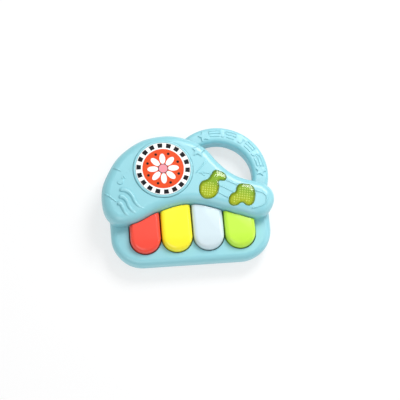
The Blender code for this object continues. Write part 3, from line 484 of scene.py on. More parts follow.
# Cast resin over the chip, and the clear epoxy of the lamps: poured, so smooth and shiny.
blackResin = speckled("blackResinBlob", "#151417", "#0e0d10", 3, 0.25)
clearEpoxy = speckled("clearEpoxy", "#eef3ea", "#e4ecdf", 3, 0.08, 0.02, Transmission_Weight=0.8, IOR=1.54)
# Speaker: a dull pressed magnet and a fibrous paper cone.
ferrite = speckled("sinteredFerrite", "#3a393b", "#302f31", 1.5, 0.6, peel=(0.8, 0.02))
paperCone = speckled("blackPaperCone", "#26241f", "#1d1b17", 1, 0.85, peel=(0.7, 0.04))
# Cell sleeve: a thin printed film over steel.
cellSleeve = speckled("printedCellSleeve", "#5b6068", "#50555d", 6, 0.3, Metallic=0.6)
blackAbs = speckled("mouldedAbsBlack", "#242426", "#1c1c1e", 6, 0.4, peel=(1.2, 0.01), IOR=1.53)
print("materials made")


# camera at the photo's angle

cameraSet = {
    "tilt": 18.0, "turn": 5.0, "lean": 3.6,  # degrees off the face's normal
    "away": 1600 * mm, "shiftRight": 8.993 * mm, "shiftUp": 28.273 * mm,
    "middle": (2.75 * mm, -28.8 * mm, 0), "lens": 144, "sensor": 36, "clipEnd": 100,
}


def makeCamera(values):
    toView = (Matrix.Rotation(math.radians(values["lean"]), 3, "Z")
              @ Matrix.Rotation(math.radians(values["turn"]), 3, "Y")
              @ Matrix.Rotation(math.radians(-values["tilt"]), 3, "X"))
    eye = Vector((values["shiftRight"], values["shiftUp"], values["away"]))
    place = toView.transposed().to_4x4()
    place.translation = toView.transposed() @ eye + Vector(values["middle"])
    camera = newObject("camera", bpy.data.cameras.new("camera"))
    camera.matrix_world = place
    camera.data.lens = values["lens"]
    camera.data.sensor_width = values["sensor"]
    camera.data.clip_end = values["clipEnd"]
    bpy.context.scene.camera = camera


makeCamera(cameraSet)


# floor and studio light

lightSet = {
    "lamps": {
        "key": {"at": (0.27, 0.41, 0.6), "size": 0.33, "power": 3.95},
        "front": {"at": (-0.35, -0.75, 0.9), "size": 0.8, "power": 3.8},
        "side": {"at": (0.95, -0.1, 0.4), "size": 0.5, "power": 2.0},
    },
    "sky": 0.46, "floorSize": 40.0, "floorDrop": 0.1 * mm, "floorGlow": 0.62,
}


def whiteCard(glow):  # bright to the eye, so only a faint shadow shows
    material = speckled("whiteCard", "#fdfdfd", "#fafafb", 200, 0.8)
    tree = material.node_tree
    rays = addNode(tree, "ShaderNodeLightPath", {})
    seen = rays.outputs["Is Camera Ray"]
    for kind in ("Is Glossy Ray", "Is Transmission Ray"):
        either = {0: seen, 1: rays.outputs[kind]}
        seen = addNode(tree, "ShaderNodeMath", {"operation": "MAXIMUM"}, either).outputs[0]
    share = addNode(tree, "ShaderNodeMath", {"operation": "MULTIPLY"}, {0: seen})
    share.inputs[1].default_value = glow
    light = addNode(tree, "ShaderNodeEmission", {"Color": (1, 1, 1, 1), "Strength": 1})
    shades = {0: share.outputs[0], 1: tree.nodes["Principled BSDF"].outputs[0], 2: light.outputs[0]}
    mix = addNode(tree, "ShaderNodeMixShader", {}, shades)
    tree.links.new(mix.outputs[0], tree.nodes["Material Output"].inputs["Surface"])
    return material


def makeStudio(values):
    for name, lamp in values["lamps"].items():
        obj = newObject(name, bpy.data.lights.new(name, "AREA"))
        obj.data.size = lamp["size"]
        obj.data.energy = lamp["power"]
        obj.location = lamp["at"]
        obj.rotation_euler = (-obj.location).to_track_quat("-Z", "Y").to_euler()
    world = bpy.data.worlds.new("studio")
    world.use_nodes = True
    world.node_tree.nodes["Background"].inputs["Color"].default_value = (1, 1, 1, 1)
    world.node_tree.nodes["Background"].inputs["Strength"].default_value = values["sky"]
    bpy.context.scene.world = world
    bpy.ops.mesh.primitive_plane_add(size=values["floorSize"], location=(0, 0, -values["floorDrop"]))
    floor = bpy.context.object
    floor.name = "floor"
    floor.data.materials.append(whiteCard(values["floorGlow"]))


makeStudio(lightSet)
bpy.context.scene.view_settings.view_transform = "Standard"
print("camera, floor and light made")


# housing

bodySet = inMm({
    "partingZ": 12, "seam": 0.3, "deckZ": 22, "wall": 2.2, "skin": 1, "frameTuck": 3, "rearTuck": 1.4,
    "rearRound": 6,
})
traySet = {
    "sides": (-78 * mm, 80 * mm, -70 * mm, -3 * mm), "corner": 31 * mm, "cornerSteps": 28,
    "round": 6 * mm,
}
domeSet = {
    "knots": [
        (-85, -4), (-77, 24), (-55, 48.5), (-25, 59), (5.5, 54), (20.5, 44), (33.5, 27.5),
        (46, 15.5), (57, 9.5), (67, 6.5), (78, 2), (85, -9), (80, -24), (69, -31), (48, -26),
        (33, -20.5), (1, -12.4), (-28, -17.6), (-62, -30), (-76, -27),
    ],
    "steps": 12, "top": 38 * mm, "round": 9 * mm, "roundSteps": 10, "rimRound": 0.5 * mm,
}
handleSet = inMm({
    "radius": 42.5, "band": 16, "back": 2, "front": 20.5, "round": 4.2, "slotOut": 46.6, "slotIn": 43.8,
    "lowLine": 40.6, "star": 5.4,
}, middle=(33 * mm, 19.5 * mm), roundSteps=10, start=-40, end=150, steps=84, note=0.75,
    staves=[(97, 82), (74, 61), (45, 32), (22, 8)], stars=[(105, 42.5 * mm), (1, 43 * mm)],
    notes=[(78, 41.6 * mm), (53, 41.6 * mm), (27, 41.6 * mm)])
reliefSet = {
    "raise": 0.9 * mm, "sink": 1 * mm, "line": 0.75 * mm, "bury": 0.05 * mm, "edge": 0.25 * mm,
    "edgeSteps": 3, "lineSteps": 8, "deep": 12 * mm, "high": 3 * mm, "clear": 0.2 * mm,
    "lines": [  # staff that runs under both notes and turns round on the right arm, and fine creases
        [(12, 16.4), (19.6, 15.8), (30, 11.5), (40.4, 6), (52, -0.2), (60, -3.6), (67.7, -6.3),
         (73.4, -8.6), (76.6, -13.2), (75.4, -18.2), (71, -21.4), (65.5, -23), (61, -23.4)],
        [(24, 5), (33.5, 0.9), (44.6, -5.8), (56, -11)],
        [(24, -2.5), (31.3, -6.2), (37.4, -10.5), (44, -14.6)],
        [(15.2, 16.2), (15.8, 14.6), (18.3, 13)],
        [(19.6, 28.3), (14.5, 21.4), (9.1, 16.1)],
        [(-81.8, 1.5), (-76.6, -3.4), (-70.5, -8.8)],
        [(-71.8, 27.5), (-64.3, 22.8)],
    ],
    "star": (13.8 * mm, 39.4 * mm, 6.4 * mm, 150), "note": (-65.6 * mm, 11.6 * mm),
    "noteHead": (3, 2.4, 20), "noteStem": [(2.3, 0.5), (2.3, 2), (2.3, 3.5), (2.3, 5), (2.3, 6.5)],
    "noteFlag": [(2.3, 6.4), (3.2, 5.9), (4.1, 5), (4.6, 4), (4.8, 3)],
    "waves": [
        [(-67, 3.9), (-61.2, 2.7), (-55.4, -2.6), (-53.1, -9.1), (-49.3, -14.4), (-42.4, -18)],
        [(-68, -3), (-64.5, -4), (-60.8, -8), (-59.2, -13.7), (-55.8, -18.9), (-51.5, -22.2)],
        [(-70.2, -9.8), (-67, -10.9), (-65.2, -15.1), (-63.3, -20), (-59.2, -24.4)],
    ],
    "wave": 2.2 * mm, "waveHigh": 0.9, "blunt": 3, "bluntFirst": 0.6, "tail": 0.55, "tailSink": 0.1,
}
buttonSet = inMm({
    "radius": 29.65, "hole": 29.95, "top": 39.4, "floor": 38.8, "recess": 27.3, "round": 1.2, "edge": 0.3,
    "flange": 30.8, "flangeTop": 32.7, "flangeLow": 30.9, "inside": 27.6, "roof": 37, "stem": 3,
    "stemLow": 29.9,
}, at=(-22.8 * mm, 22.4 * mm), sides=128)
keySet = inMm({
    "half": 15, "end": -59, "back": -3, "skirt": 16, "top": 30, "round": 4, "gap": 1, "clearance": 0.9,
    "slope": 14, "drop": 3, "wall": 1.8, "innerRound": 2, "rimZone": 5, "rimBevel": 0.4, "weld": 0.02,
    "leverGrow": 0.3, "leverFront": -46, "leverBack": 1, "leverTop": 20,
}, cornerSteps=24, slopeSteps=8, rimSharp=50,
    places=inMm({"red": -44.8, "yellow": -13.6, "blue": 17.6, "green": 48.8}))
noteSet = inMm({
    "clearance": 0.25, "top": 40, "low": 31.5, "round": 1.3, "flange": 0.8, "flangeTop": 32.7, "wall": 1.6,
    "innerRound": 0.8, "crown": 0.2, "crownReach": 2.7, "cell": 1, "ceiling": 36.9, "dotPitch": 2.4,
    "dot": 0.8,
}, steps=10, roundSteps=6, innerSteps=3, dotTurn=-10, dotRows=8, dotTop={"single": 7 * mm, "pair": 0},
    crownAt={"single": (28 * mm, 3 * mm, 110 * mm), "pair": (57 * mm, -7 * mm, 85 * mm)},
    single=[
        (11, -0.5), (14, 6.5), (21, 9.5), (24.5, 14), (28, 17.8), (32.5, 17), (38.6, 12),
        (37.5, 7), (31.5, 6.5), (30.8, 0), (27, -8.2), (20.5, -10.8), (13.2, -8.2),
    ],
    pair=[
        (39.2, -13.3), (42, -8), (46.8, -5.3), (48.2, -1), (51.5, 2), (57, 1.7), (62.5, 0.1),
        (65.3, -4.1), (65.2, -13.1), (62.5, -19), (57.5, -20.8), (52, -17.2), (46, -19.6), (40, -17.7),
    ])

domeLoop = smoothLoop(domeSet["knots"], domeSet["steps"])
noteLoops = {name: smoothLoop(noteSet[name], noteSet["steps"]) for name in ("single", "pair")}


def traySlab(inset, low, high, topRound=0, lowRound=0):
    left, right, front, back = traySet["sides"]
    sides = (left + inset, right - inset, front + inset, back - inset)
    return plateSlab(sides, low, high, traySet["corner"] - inset, traySet["cornerSteps"],
                     topRound, lowRound, frontOnly=True)


def handleBar(inset):
    h = handleSet
    depth = h["front"] - h["back"] - 2 * inset
    band = h["band"] - 2 * inset
    sides = (-band / 2, band / 2, -depth / 2, depth / 2)
    bar = roundedPlane(sides, h["round"] - inset, h["roundSteps"])
    start = math.radians(h["start"])
    focus(bar)
    bar.rotation_euler = (math.pi / 2, 0, start)
    bar.location = (*polar(*h["middle"], h["radius"], start), (h["front"] + h["back"]) / 2)
    bpy.ops.object.transform_apply()
    startEdit(bar, "FACE")
    selectAll()
    bpy.ops.mesh.spin(steps=h["steps"], angle=start - math.radians(h["end"]),
                      center=(*h["middle"], 0), axis=(0, 0, 1))
    mergePoints(bar)
    return bar


def roundHoleRims(obj, height, radius):  # the edges of holes in a flat face at that height
    def onRim(edge):
        level = all(abs(v.co.z - height) < 1e-6 for v in edge.verts)
        return level and any(abs(face.normal.z) < 0.2 for face in edge.link_faces)
    startEdit(obj)
    pick(obj, "edges", onRim)
    bpy.ops.mesh.bevel(offset=radius, segments=3, clamp_overlap=True)
    stopEdit()


def keyHole(x):
    k = keySet
    grow = k["clearance"]
    half = k["half"] + grow
    hole = plateSlab((x - half, x + half, k["end"] - grow, k["back"]), bodySet["partingZ"],
                     bodySet["deckZ"] + past, half - hair, k["cornerSteps"], frontOnly=True)
    return cut(hole, loopSlab(grownLoop(domeLoop, k["gap"] - grow), 0, domeSet["top"]))


def raisedNote(x, y, turn, size, surface):  # an eighth note: head, stem and flag
    r = reliefSet

    def spot(right, up):
        place = Vector((right, up)) * size * mm
        place.rotate(Matrix.Rotation(math.radians(turn), 2))
        place += Vector((x, y))
        return (*place, surface(*place) - r["bury"])

    height = surface(x, y)
    long, wide, tilt = r["noteHead"]
    head = loopSlab(ovalLoop(x, y, long * size * mm, wide * size * mm, turn + tilt), height - r["sink"],
                    height + r["raise"], r["edge"], 0, r["edgeSteps"])
    line = r["line"] * math.sqrt(size)
    return [head] + [bead([spot(*at) for at in r[part]], line) for part in ("noteStem", "noteFlag")]


def ringSpot(reach, angle):
    return polar(*handleSet["middle"], reach, math.radians(angle))


def handleHeight(reach):  # the ring's front, flat between its two rounded edges
    h = handleSet
    edge = h["round"]
    beyond = max(0, abs(reach - h["radius"]) - h["band"] / 2 + edge)
    return h["front"] - edge + math.sqrt(edge ** 2 - beyond ** 2)


def ringLine(reach, first, last, steps=16):
    height = handleHeight(reach) - reliefSet["bury"]
    angles = [first + (last - first) * step / steps for step in range(steps + 1)]
    return [(*ringSpot(reach, angle), height) for angle in angles]


def handleReliefs():
    h = handleSet
    r = reliefSet
    middle = Vector(h["middle"])
    shapes = []
    for angle, reach in h["stars"]:
        outline = starLoop(*ringSpot(reach, angle), h["star"], angle)
        shapes.append(loopSlab(outline, h["front"] - 2 * r["sink"], h["front"] + r["raise"],
                               r["edge"], 0, r["edgeSteps"]))
    for angle, reach in h["notes"]:
        shapes += raisedNote(*ringSpot(reach, angle), angle - 90, h["note"],
                             lambda x, y: handleHeight((Vector((x, y)) - middle).length))
    for first, last in h["staves"]:
        slot = ringLine(h["slotOut"], first, last) + ringLine(h["slotIn"], last, first)
        shapes.append(bead(slot, r["line"], closed=True))
        shapes.append(bead(ringLine(h["lowLine"], first, last), r["line"]))
    return shapes


def makeFrame():
    low = bodySet["partingZ"] + bodySet["seam"]
    deck = bodySet["deckZ"]
    skin = bodySet["skin"]
    body = grownLoop(domeLoop, -bodySet["frameTuck"])
    outer = loopSlab(body, low - past, deck)
    join(outer, traySlab(0, low - 2 * past, deck, traySet["round"]), handleBar(0))
    cut(outer, block(-far, far, -far, far, -far, low))
    air = loopSlab(grownLoop(body, -1.5 * skin), low - 4 * past, deck + past)
    join(air, traySlab(skin, low - 3 * past, deck - skin, traySet["round"] - skin), handleBar(skin))
    cut(air, nodeCopy("key_frame"))
    cut(outer, air)
    cut(outer, *[keyHole(x) for x in keySet["places"].values()])
    join(outer, *handleReliefs())
    mergePoints(outer)
    outer = healed(outer)
    settle(outer, "trayFrame", "housing", [aquaAbs], "key_frame")


makeFrame()
print("tray and handle front made")


def domeHeight(x, y):  # the cover's upper surface, flat inside its rounded rim
    radius = domeSet["round"]
    inward = min(toEdge(Vector((x, y)), domeLoop), radius)
    return domeSet["top"] - radius + math.sqrt(radius ** 2 - (radius - inward) ** 2)


def waveRidge(knots):  # a half-round ridge, blunt at its start and sinking away at its end
    r = reliefSet
    top = domeSet["top"]
    path = smoothLoop(knots, r["lineSteps"], closed=False)
    spots = []
    widths = []
    for index, spot in enumerate(path):
        share = index / (len(path) - 1)
        start = min(1, (index + r["bluntFirst"]) / r["blunt"])
        widths.append(math.sqrt(1 - (1 - start) ** 2) * (1 - (1 - r["tail"]) * share ** 2))
        sunk = r["wave"] * (r["tail"] + r["tailSink"]) * share ** 4
        drop = top - domeHeight(*spot) + sunk
        spots.append((*spot, top - drop / r["waveHigh"]))
    ridge = bead(spots, r["wave"], widths=widths)
    level = Matrix.Translation((0, 0, top))
    flatter = Matrix.Scale(r["waveHigh"], 4, Vector((0, 0, 1)))
    ridge.data.transform(level @ flatter @ level.inverted())
    return ridge


def domeReliefs():
    r = reliefSet
    d = domeSet
    low = d["top"] - r["deep"]
    high = d["top"] + r["high"]
    star = loopSlab(starLoop(*r["star"]), low, high)
    grown = r["raise"]
    combine(star, "INTERSECT", loopSlab(grownLoop(domeLoop, grown), low - mm, d["top"] + grown,
                                        d["round"] + grown, 0, d["roundSteps"]))
    cut(star, loopSlab(grownLoop(domeLoop, -r["sink"]), low - 2 * mm, d["top"] - r["sink"],
                       d["round"] - r["sink"], 0, d["roundSteps"]))
    clear = noteSet["clearance"] + d["rimRound"] + r["clear"]
    lines = []
    for knots in r["lines"]:
        path = smoothLoop(knots, r["lineSteps"], closed=False)
        line = bead([(*spot, domeHeight(*spot) - r["bury"]) for spot in path], r["line"])
        lines.append(cut(line, *[loopSlab(grownLoop(loop, clear), low, high) for loop in noteLoops.values()]))
    note = raisedNote(*r["note"], 0, 1, domeHeight)
    return [star] + note + lines + [waveRidge(knots) for knots in r["waves"]]


def makeDome():
    d = domeSet
    low = bodySet["deckZ"] + bodySet["seam"]
    top = d["top"]
    skin = bodySet["skin"]
    outer = loopSlab(domeLoop, low, top, d["round"], 0, d["roundSteps"])
    air = loopSlab(grownLoop(domeLoop, -skin), low + skin, top - skin, d["round"] - skin)
    join(air, loopSlab(grownLoop(domeLoop, -6 * skin), low - past, low + 3 * skin))
    cut(air, nodeCopy("dome_cover"))
    cut(outer, air)
    cut(outer, drum(*buttonSet["at"], buttonSet["hole"], low, top + past, buttonSet["sides"]))
    for loop in noteLoops.values():
        cut(outer, loopSlab(grownLoop(loop, noteSet["clearance"]), low, top + past))
    mergePoints(outer)
    roundHoleRims(outer, top, d["rimRound"])
    join(outer, *domeReliefs())
    mergePoints(outer)
    outer = healed(outer)
    settle(outer, "domeCover", "housing", [aquaAbs], "dome_cover")


makeDome()
print("upper cover made")


def keyCap(x, inset, low, high, rim):
    k = keySet
    half = k["half"] - inset
    cap = plateSlab((x - half, x + half, k["end"] + inset, k["back"]), low, high, half - hair,
                    k["cornerSteps"], rim, frontOnly=True)
    slopeStart = k["end"] + k["slope"]
    startEdit(cap)
    for step in range(k["slopeSteps"]):
        selectAll()
        line = slopeStart - k["slope"] * step / k["slopeSteps"]
        bpy.ops.mesh.bisect(plane_co=(0, line, 0), plane_no=(0, 1, 0))
    shape = bmesh.from_edit_mesh(cap.data)
    for vertex in shape.verts:
        reach = (slopeStart - vertex.co.y) / k["slope"]
        if reach > 0 and vertex.co.z > high - rim - 1e-7:
            vertex.co.z -= k["drop"] * reach ** 2
    bmesh.update_edit_mesh(cap.data)
    stopEdit()
    return cut(cap, loopSlab(grownLoop(domeLoop, k["gap"] + inset), 0, domeSet["top"]))


def makeKey(colour, x):
    k = keySet
    cap = keyCap(x, 0, k["skirt"], k["top"], k["round"])
    cut(cap, keyCap(x, k["wall"], k["skirt"] - past, k["top"] - k["wall"], k["innerRound"]))
    mergePoints(cap)
    startEdit(cap)
    pick(cap, "edges", lambda e: min(v.co.z for v in e.verts) > k["top"] - k["rimZone"]
         and e.calc_face_angle(0) > math.radians(k["rimSharp"]))
    bpy.ops.mesh.bevel(offset=k["rimBevel"], segments=2, clamp_overlap=True)
    stopEdit()
    name = "key_" + colour
    lever = nodeCopy(name)
    half = k["half"] - k["wall"]
    grow = k["leverGrow"]
    combine(lever, "INTERSECT", block(x - half - grow, x + half + grow, k["leverFront"], k["leverBack"],
                                      0, k["leverTop"]))
    join(cap, lever)
    mergePoints(cap, k["weld"])
    cap = healed(cap)
    settle(cap, colour + "Key", colour + "_key", [keyAbs[colour]], name)


for colour, place in keySet["places"].items():
    makeKey(colour, place)
print("keys made")


# round button and its sticker

labelSet = inMm({
    "low": 39.1, "top": 39.5, "radius": 27, "squaresOut": 26.4, "squaresIn": 21.9, "disc": 20.5,
    "petalAt": 10.2, "petalLong": 5.4, "petalWide": 2.9, "heart": 4.4, "heartRing": 5.1, "dotAt": 16.2,
    "dot": 1.3, "ink": 0.05,
}, squares=18, squareTurn=13.6, petals=8, spotSides=32,
    quads=16, squareShare=9 / 16)  # nine quads of each sixteen are dark


def makeButton():
    b = buttonSet
    edge = b["edge"]
    rim = quarterArc(b["recess"] + edge, b["top"] - edge, edge, 180, 3)
    rim += quarterArc(b["radius"] - b["round"], b["top"] - b["round"], b["round"], 90)
    profile = [(0, b["floor"]), (b["recess"], b["floor"])] + rim + [
        (b["radius"], b["flangeTop"]), (b["flange"], b["flangeTop"]), (b["flange"], b["flangeLow"]),
        (b["inside"], b["flangeLow"]), (b["inside"], b["roof"]), (b["stem"], b["roof"]),
        (b["stem"], b["stemLow"]), (0, b["stemLow"]),
    ]
    button = turnedProfile("button", profile, *b["at"], b["sides"])
    settle(button, "melodyButton", "round_button", [aquaAbs], "melody_button")


def inkShape(x, y, long, wide, turn, ink):  # one printed spot, a thin layer of ink
    bpy.ops.mesh.primitive_circle_add(vertices=labelSet["spotSides"], radius=1, fill_type="NGON")
    spot = bpy.context.object
    spot.scale = (long, wide, 1)
    spot.rotation_euler = (0, 0, turn)
    spot.location = (x, y, labelSet["top"] - labelSet["ink"])
    bpy.ops.object.transform_apply()
    extrudeUp(spot, 2 * labelSet["ink"])
    for face in spot.data.polygons:
        face.material_index = ink
    return spot


def makeLabel():
    v = labelSet
    x, y = buttonSet["at"]
    bpy.ops.mesh.primitive_circle_add(vertices=v["squares"] * v["quads"], radius=v["radius"],
                                      fill_type="NGON", location=(x, y, v["low"]))
    label = bpy.context.object
    bpy.ops.object.transform_apply()
    extrudeUp(label, v["top"] - v["low"])
    startEdit(label, "FACE")
    pick(label, "faces", lambda f: f.normal.z > 0.9)
    for wide, narrow in (("radius", "squaresOut"), ("squaresOut", "squaresIn"), ("squaresIn", "disc")):
        bpy.ops.mesh.inset(thickness=v[wide] - v[narrow], depth=0)
    stopEdit()
    pitch = 360 / v["squares"]
    for face in label.data.polygons:
        middle = face.center - Vector((x, y, 0))
        reach = middle.to_2d().length
        face.material_index = white
        if face.normal.z < 0.9:
            continue
        if v["squaresIn"] < reach < v["squaresOut"]:
            angle = math.degrees(math.atan2(middle.y, middle.x)) - v["squareTurn"]
            if abs((angle + pitch / 2) % pitch - pitch / 2) < pitch * v["squareShare"] / 2:
                face.material_index = dark
        elif reach < v["disc"] / 2:
            face.material_index = orange
    spots = []
    for petal in range(v["petals"]):
        turn = 2 * math.pi * petal / v["petals"]
        spots.append(inkShape(*polar(x, y, v["petalAt"], turn), v["petalLong"], v["petalWide"], turn, white))
        between = turn + math.pi / v["petals"]
        spots.append(inkShape(*polar(x, y, v["dotAt"], between), v["dot"], v["dot"], 0, dark))
    spots.append(inkShape(x, y, v["heartRing"], v["heartRing"], 0, dark))
    heart = inkShape(x, y, v["heart"], v["heart"], 0, pink)
    heart.data.transform(Matrix.Translation((0, 0, v["ink"])))  # on top of its ring
    focus(label)
    for piece in (label, *spots, heart):
        piece.select_set(True)
        for ink in inks:
            piece.data.materials.append(ink)
    bpy.ops.object.join()
    label.name = label.data.name = "stickerDisc"
    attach(label, "round_button")
    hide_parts("label_disc")


makeButton()
makeLabel()
print("button and sticker made")


# note windows, with rows of dots moulded on their inner faces

def insideLoop(loop, x, y):
    inside = False
    for index, (ax, ay) in enumerate(loop):
        bx, by = loop[index - 1]
        if (ay > y) != (by > y) and x < (bx - ax) * (y - ay) / (by - ay) + ax:
            inside = not inside
    return inside


def dotSpots(name):  # a slanting grid over the heads
    n = noteSet
    loop = grownLoop(noteLoops[name], -n["wall"] - n["innerRound"] - n["dot"])
    across = Vector((n["dotPitch"], 0))
    across.rotate(Matrix.Rotation(math.radians(n["dotTurn"]), 2))
    up = Vector((-across.y, across.x))
    middle = sum(loop, Vector((0, 0))) / len(loop)
    steps = range(-n["dotRows"], n["dotRows"] + 1)
    spots = [middle + across * column + up * row for column in steps for row in steps]
    return [spot for spot in spots if spot.y < n["dotTop"][name] and insideLoop(loop, spot.x, spot.y)]


def makeLens(name):
    n = noteSet
    loop = noteLoops[name]
    lens = loopSlab(loop, n["low"], n["top"], n["round"], 0, n["roundSteps"])
    xs = [point.x for point in loop]
    ys = [point.y for point in loop]
    startEdit(lens)
    for low, high, axis in ((min(xs), max(xs), (1, 0, 0)), (min(ys), max(ys), (0, 1, 0))):
        for cell in range(1, int((high - low) / n["cell"])):
            selectAll()
            place = low + cell * n["cell"]
            bpy.ops.mesh.bisect(plane_co=[place * part for part in axis], plane_no=axis)
    shape = bmesh.from_edit_mesh(lens.data)
    x, y, radius = n["crownAt"][name]
    for vertex in shape.verts:  # a low crown that falls off towards the rim
        if vertex.co.z > n["flangeTop"]:
            spot = vertex.co.to_2d()
            share = min(1, max(0, (toEdge(spot, loop) - n["round"]) / n["crownReach"]))
            away = (spot - Vector((x, y))).length
            vertex.co.z -= n["crown"] * (1 - share) ** 2 + away ** 2 / (2 * radius)
    bmesh.update_edit_mesh(lens.data)
    stopEdit()
    join(lens, loopSlab(grownLoop(loop, n["flange"]), n["low"], n["flangeTop"]))
    ceiling = n["ceiling"]
    hollow = loopSlab(grownLoop(loop, -n["wall"]), n["low"] - past, ceiling,
                      n["innerRound"], 0, n["innerSteps"])
    bpy.ops.mesh.primitive_uv_sphere_add(segments=12, ring_count=6, radius=n["dot"])
    dot = bpy.context.object
    join(hollow, *[copyTo(dot, spot.x, spot.y, ceiling) for spot in dotSpots(name)])
    bpy.data.objects.remove(dot)
    cut(lens, hollow)
    mergePoints(lens)
    finishes = [lensTop, lensRim, lensFrost, lensDotsPaintedGlint]
    settle(lens, name + "NoteLens", "housing", finishes, "note_lens_" + name, keepFlats=False)
    for face in lens.data.polygons:
        height = face.center.z
        # the frosted ceiling takes the frost finish, and the moulded dots on it take the paler finish, a
        # painted glint
        if face.normal.z < -0.15 and height > ceiling - n["innerRound"]:
            face.material_index = finishes.index(lensDotsPaintedGlint if height > ceiling + hair else lensFrost)
        elif height > n["flangeTop"] and face.normal.z < 0.5:
            face.material_index = finishes.index(lensRim)


for name in ("single", "pair"):
    makeLens(name)
print("note windows made")


# rear cover, battery door, slider and screws

rearSet = inMm({
    "bayLength": 51.9, "bayWidth": 23, "doorSeat": 2.405, "doorRoom": 0.42, "grille": 11, "slot": 2,
    "slotPitch": 4, "slotPast": 0.1, "pocket": 1.405, "screwRecess": 3, "screwSeat": 6.005, "rimRound": 0.3,
}, slots=5, recessSides=48, bayAt=(-20 * mm, 18 * mm), speakerAt=(33 * mm, -2 * mm),
    bridge=(-60 * mm, 40 * mm, -26 * mm, 2 * mm))  # keeps the back flat where tray and body meet
doorSet = inMm({
    "length": 67.9, "width": 29, "corner": 3, "thick": 2.1, "screwIn": 4, "footRound": 0.5,
    "headHole": 2.85, "headDeep": 1.35, "shankHole": 1.6, "gripPitch": 2.4, "gripLength": 16,
    "gripWidth": 1.2, "gripDeep": 0.5, "rimRound": 0.2,
}, grips=5)
sliderSet = inMm({
    "travel": 4, "length": 5, "width": 4.4, "room": 0.4, "low": 0.3, "high": 1.1, "corner": 0.6,
    "round": 0.25, "ribPitch": 1.2, "ribWide": 0.5, "ribLong": 3.2, "ribTop": 0.6, "stemLength": 2.4,
    "stemWidth": 2, "stemLow": 0.9, "stemTop": 5.2,
}, at=(55 * mm, -14 * mm), ribs=3)
screwSet = inMm({
    "head": 2.5, "shank": 1.25, "headLow": 3.7, "headHigh": 5.7, "dome": 0.6, "cross": 0.8,
    "crossReach": 1.55, "crossDeep": 1.1, "past": 0.1, "longTip": 30, "shortTip": 17,
    "doorHeadLow": 0.3, "doorHeadHigh": 1.05, "doorTip": 8.1,
}, sides=40)
screwSet["places"] = [(x * mm, y * mm, screwSet[tip]) for x, y, tip in (
    (-70, 0, "longTip"), (-61, 26, "longTip"), (19.5, 25, "longTip"), (71.5, -13, "longTip"),
    (-66, -44, "shortTip"), (70, -44, "shortTip"))]


def cutBack(outer):  # what is let into the back: door, bay, speaker slots, slider and screws
    r = rearSet
    x, y = r["bayAt"]
    room = 2 * r["doorRoom"]
    cut(outer, plateSlab(around(x, y, doorSet["length"] + room, doorSet["width"] + room), -past,
                         r["doorSeat"], doorSet["corner"] + r["doorRoom"]))
    cut(outer, block(*around(x, y, r["bayLength"], r["bayWidth"]), -past, 2 * r["doorSeat"]))
    x, y = r["speakerAt"]
    for rise in rows(r["slots"], r["slotPitch"]):
        reach = math.sqrt(r["grille"] ** 2 - rise ** 2)
        cut(outer, plateSlab(around(x, y + rise, 2 * reach, r["slot"]), -past,
                             bodySet["wall"] + r["slotPast"], r["slot"] / 2 - hair))
    s = sliderSet
    x, y = s["at"]
    x += s["travel"] / 2
    room = 2 * s["room"]
    cut(outer, block(*around(x, y, s["length"] + s["travel"] + room, s["width"] + room), -past, r["pocket"]))
    cut(outer, block(*around(x, y, s["stemLength"] + s["travel"] + room, s["stemWidth"] + room),
                     -past, bodySet["wall"] + past))
    for x, y, tip in screwSet["places"]:
        cut(outer, drum(x, y, r["screwRecess"], -past, r["screwSeat"], r["recessSides"]))


def makeRear():
    parting = bodySet["partingZ"]
    skin = bodySet["skin"]
    tuck = bodySet["rearTuck"]
    foot = bodySet["rearRound"]
    body = grownLoop(domeLoop, -bodySet["frameTuck"] - tuck)
    outer = loopSlab(body, 0, parting + past, 0, foot)
    join(outer, traySlab(tuck, 0, parting + 2 * past, 0, foot), handleBar(0),
         block(*rearSet["bridge"], 0, parting))
    cut(outer, block(-far, far, -far, far, parting, far))
    air = loopSlab(grownLoop(body, -skin), skin, parting + 3 * past, 0, foot - skin)
    join(air, traySlab(tuck + skin, skin, parting + 4 * past, 0, foot - skin), handleBar(skin))
    cut(air, nodeCopy("rear_cover"))
    cut(outer, air)
    tall = cut(nodeCopy("rear_cover"), block(-far, far, -far, far, -far, parting - 2 * past))
    combine(tall, "INTERSECT", loopSlab(grownLoop(body, -1.2 * skin), 0, far))
    join(outer, tall)
    cutBack(outer)
    mergePoints(outer)
    outer = healed(outer)
    roundHoleRims(outer, 0, rearSet["rimRound"])
    settle(outer, "rearCover", "housing", [aquaAbs], "rear_cover")


def makeDoor():
    d = doorSet
    x, y = rearSet["bayAt"]
    door = plateSlab(around(x, y, d["length"], d["width"]), 0, d["thick"], d["corner"],
                     lowRound=d["footRound"], segments=4)
    for side in (-1, 1):
        place = x + side * (d["length"] / 2 - d["screwIn"])
        cut(door, drum(place, y, d["headHole"], -past, d["headDeep"], 48))
        cut(door, drum(place, y, d["shankHole"], 0, d["thick"] + past, 32))
    for rise in rows(d["grips"], d["gripPitch"]):  # finger grip
        cut(door, plateSlab(around(x, y + rise, d["gripLength"], d["gripWidth"]), -past, d["gripDeep"],
                            d["gripWidth"] / 2 - hair, 6))
    mergePoints(door)
    roundHoleRims(door, 0, d["rimRound"])
    settle(door, "batteryDoor", "battery_lid", [aquaAbs], "battery_door")


def makeSlider():
    s = sliderSet
    x, y = s["at"]
    pad = plateSlab(around(x, y, s["length"], s["width"]), s["low"], s["high"], s["corner"], 6,
                    lowRound=s["round"], segments=3)
    for along in rows(s["ribs"], s["ribPitch"]):
        cut(pad, block(*around(x + along, y, s["ribWide"], s["ribLong"]), 0, s["ribTop"]))
    join(pad, block(*around(x, y, s["stemLength"], s["stemWidth"]), s["stemLow"], s["stemTop"]))
    mergePoints(pad)
    settle(pad, "powerSlider", "switch_knob", [blackAbs], "power_slider")


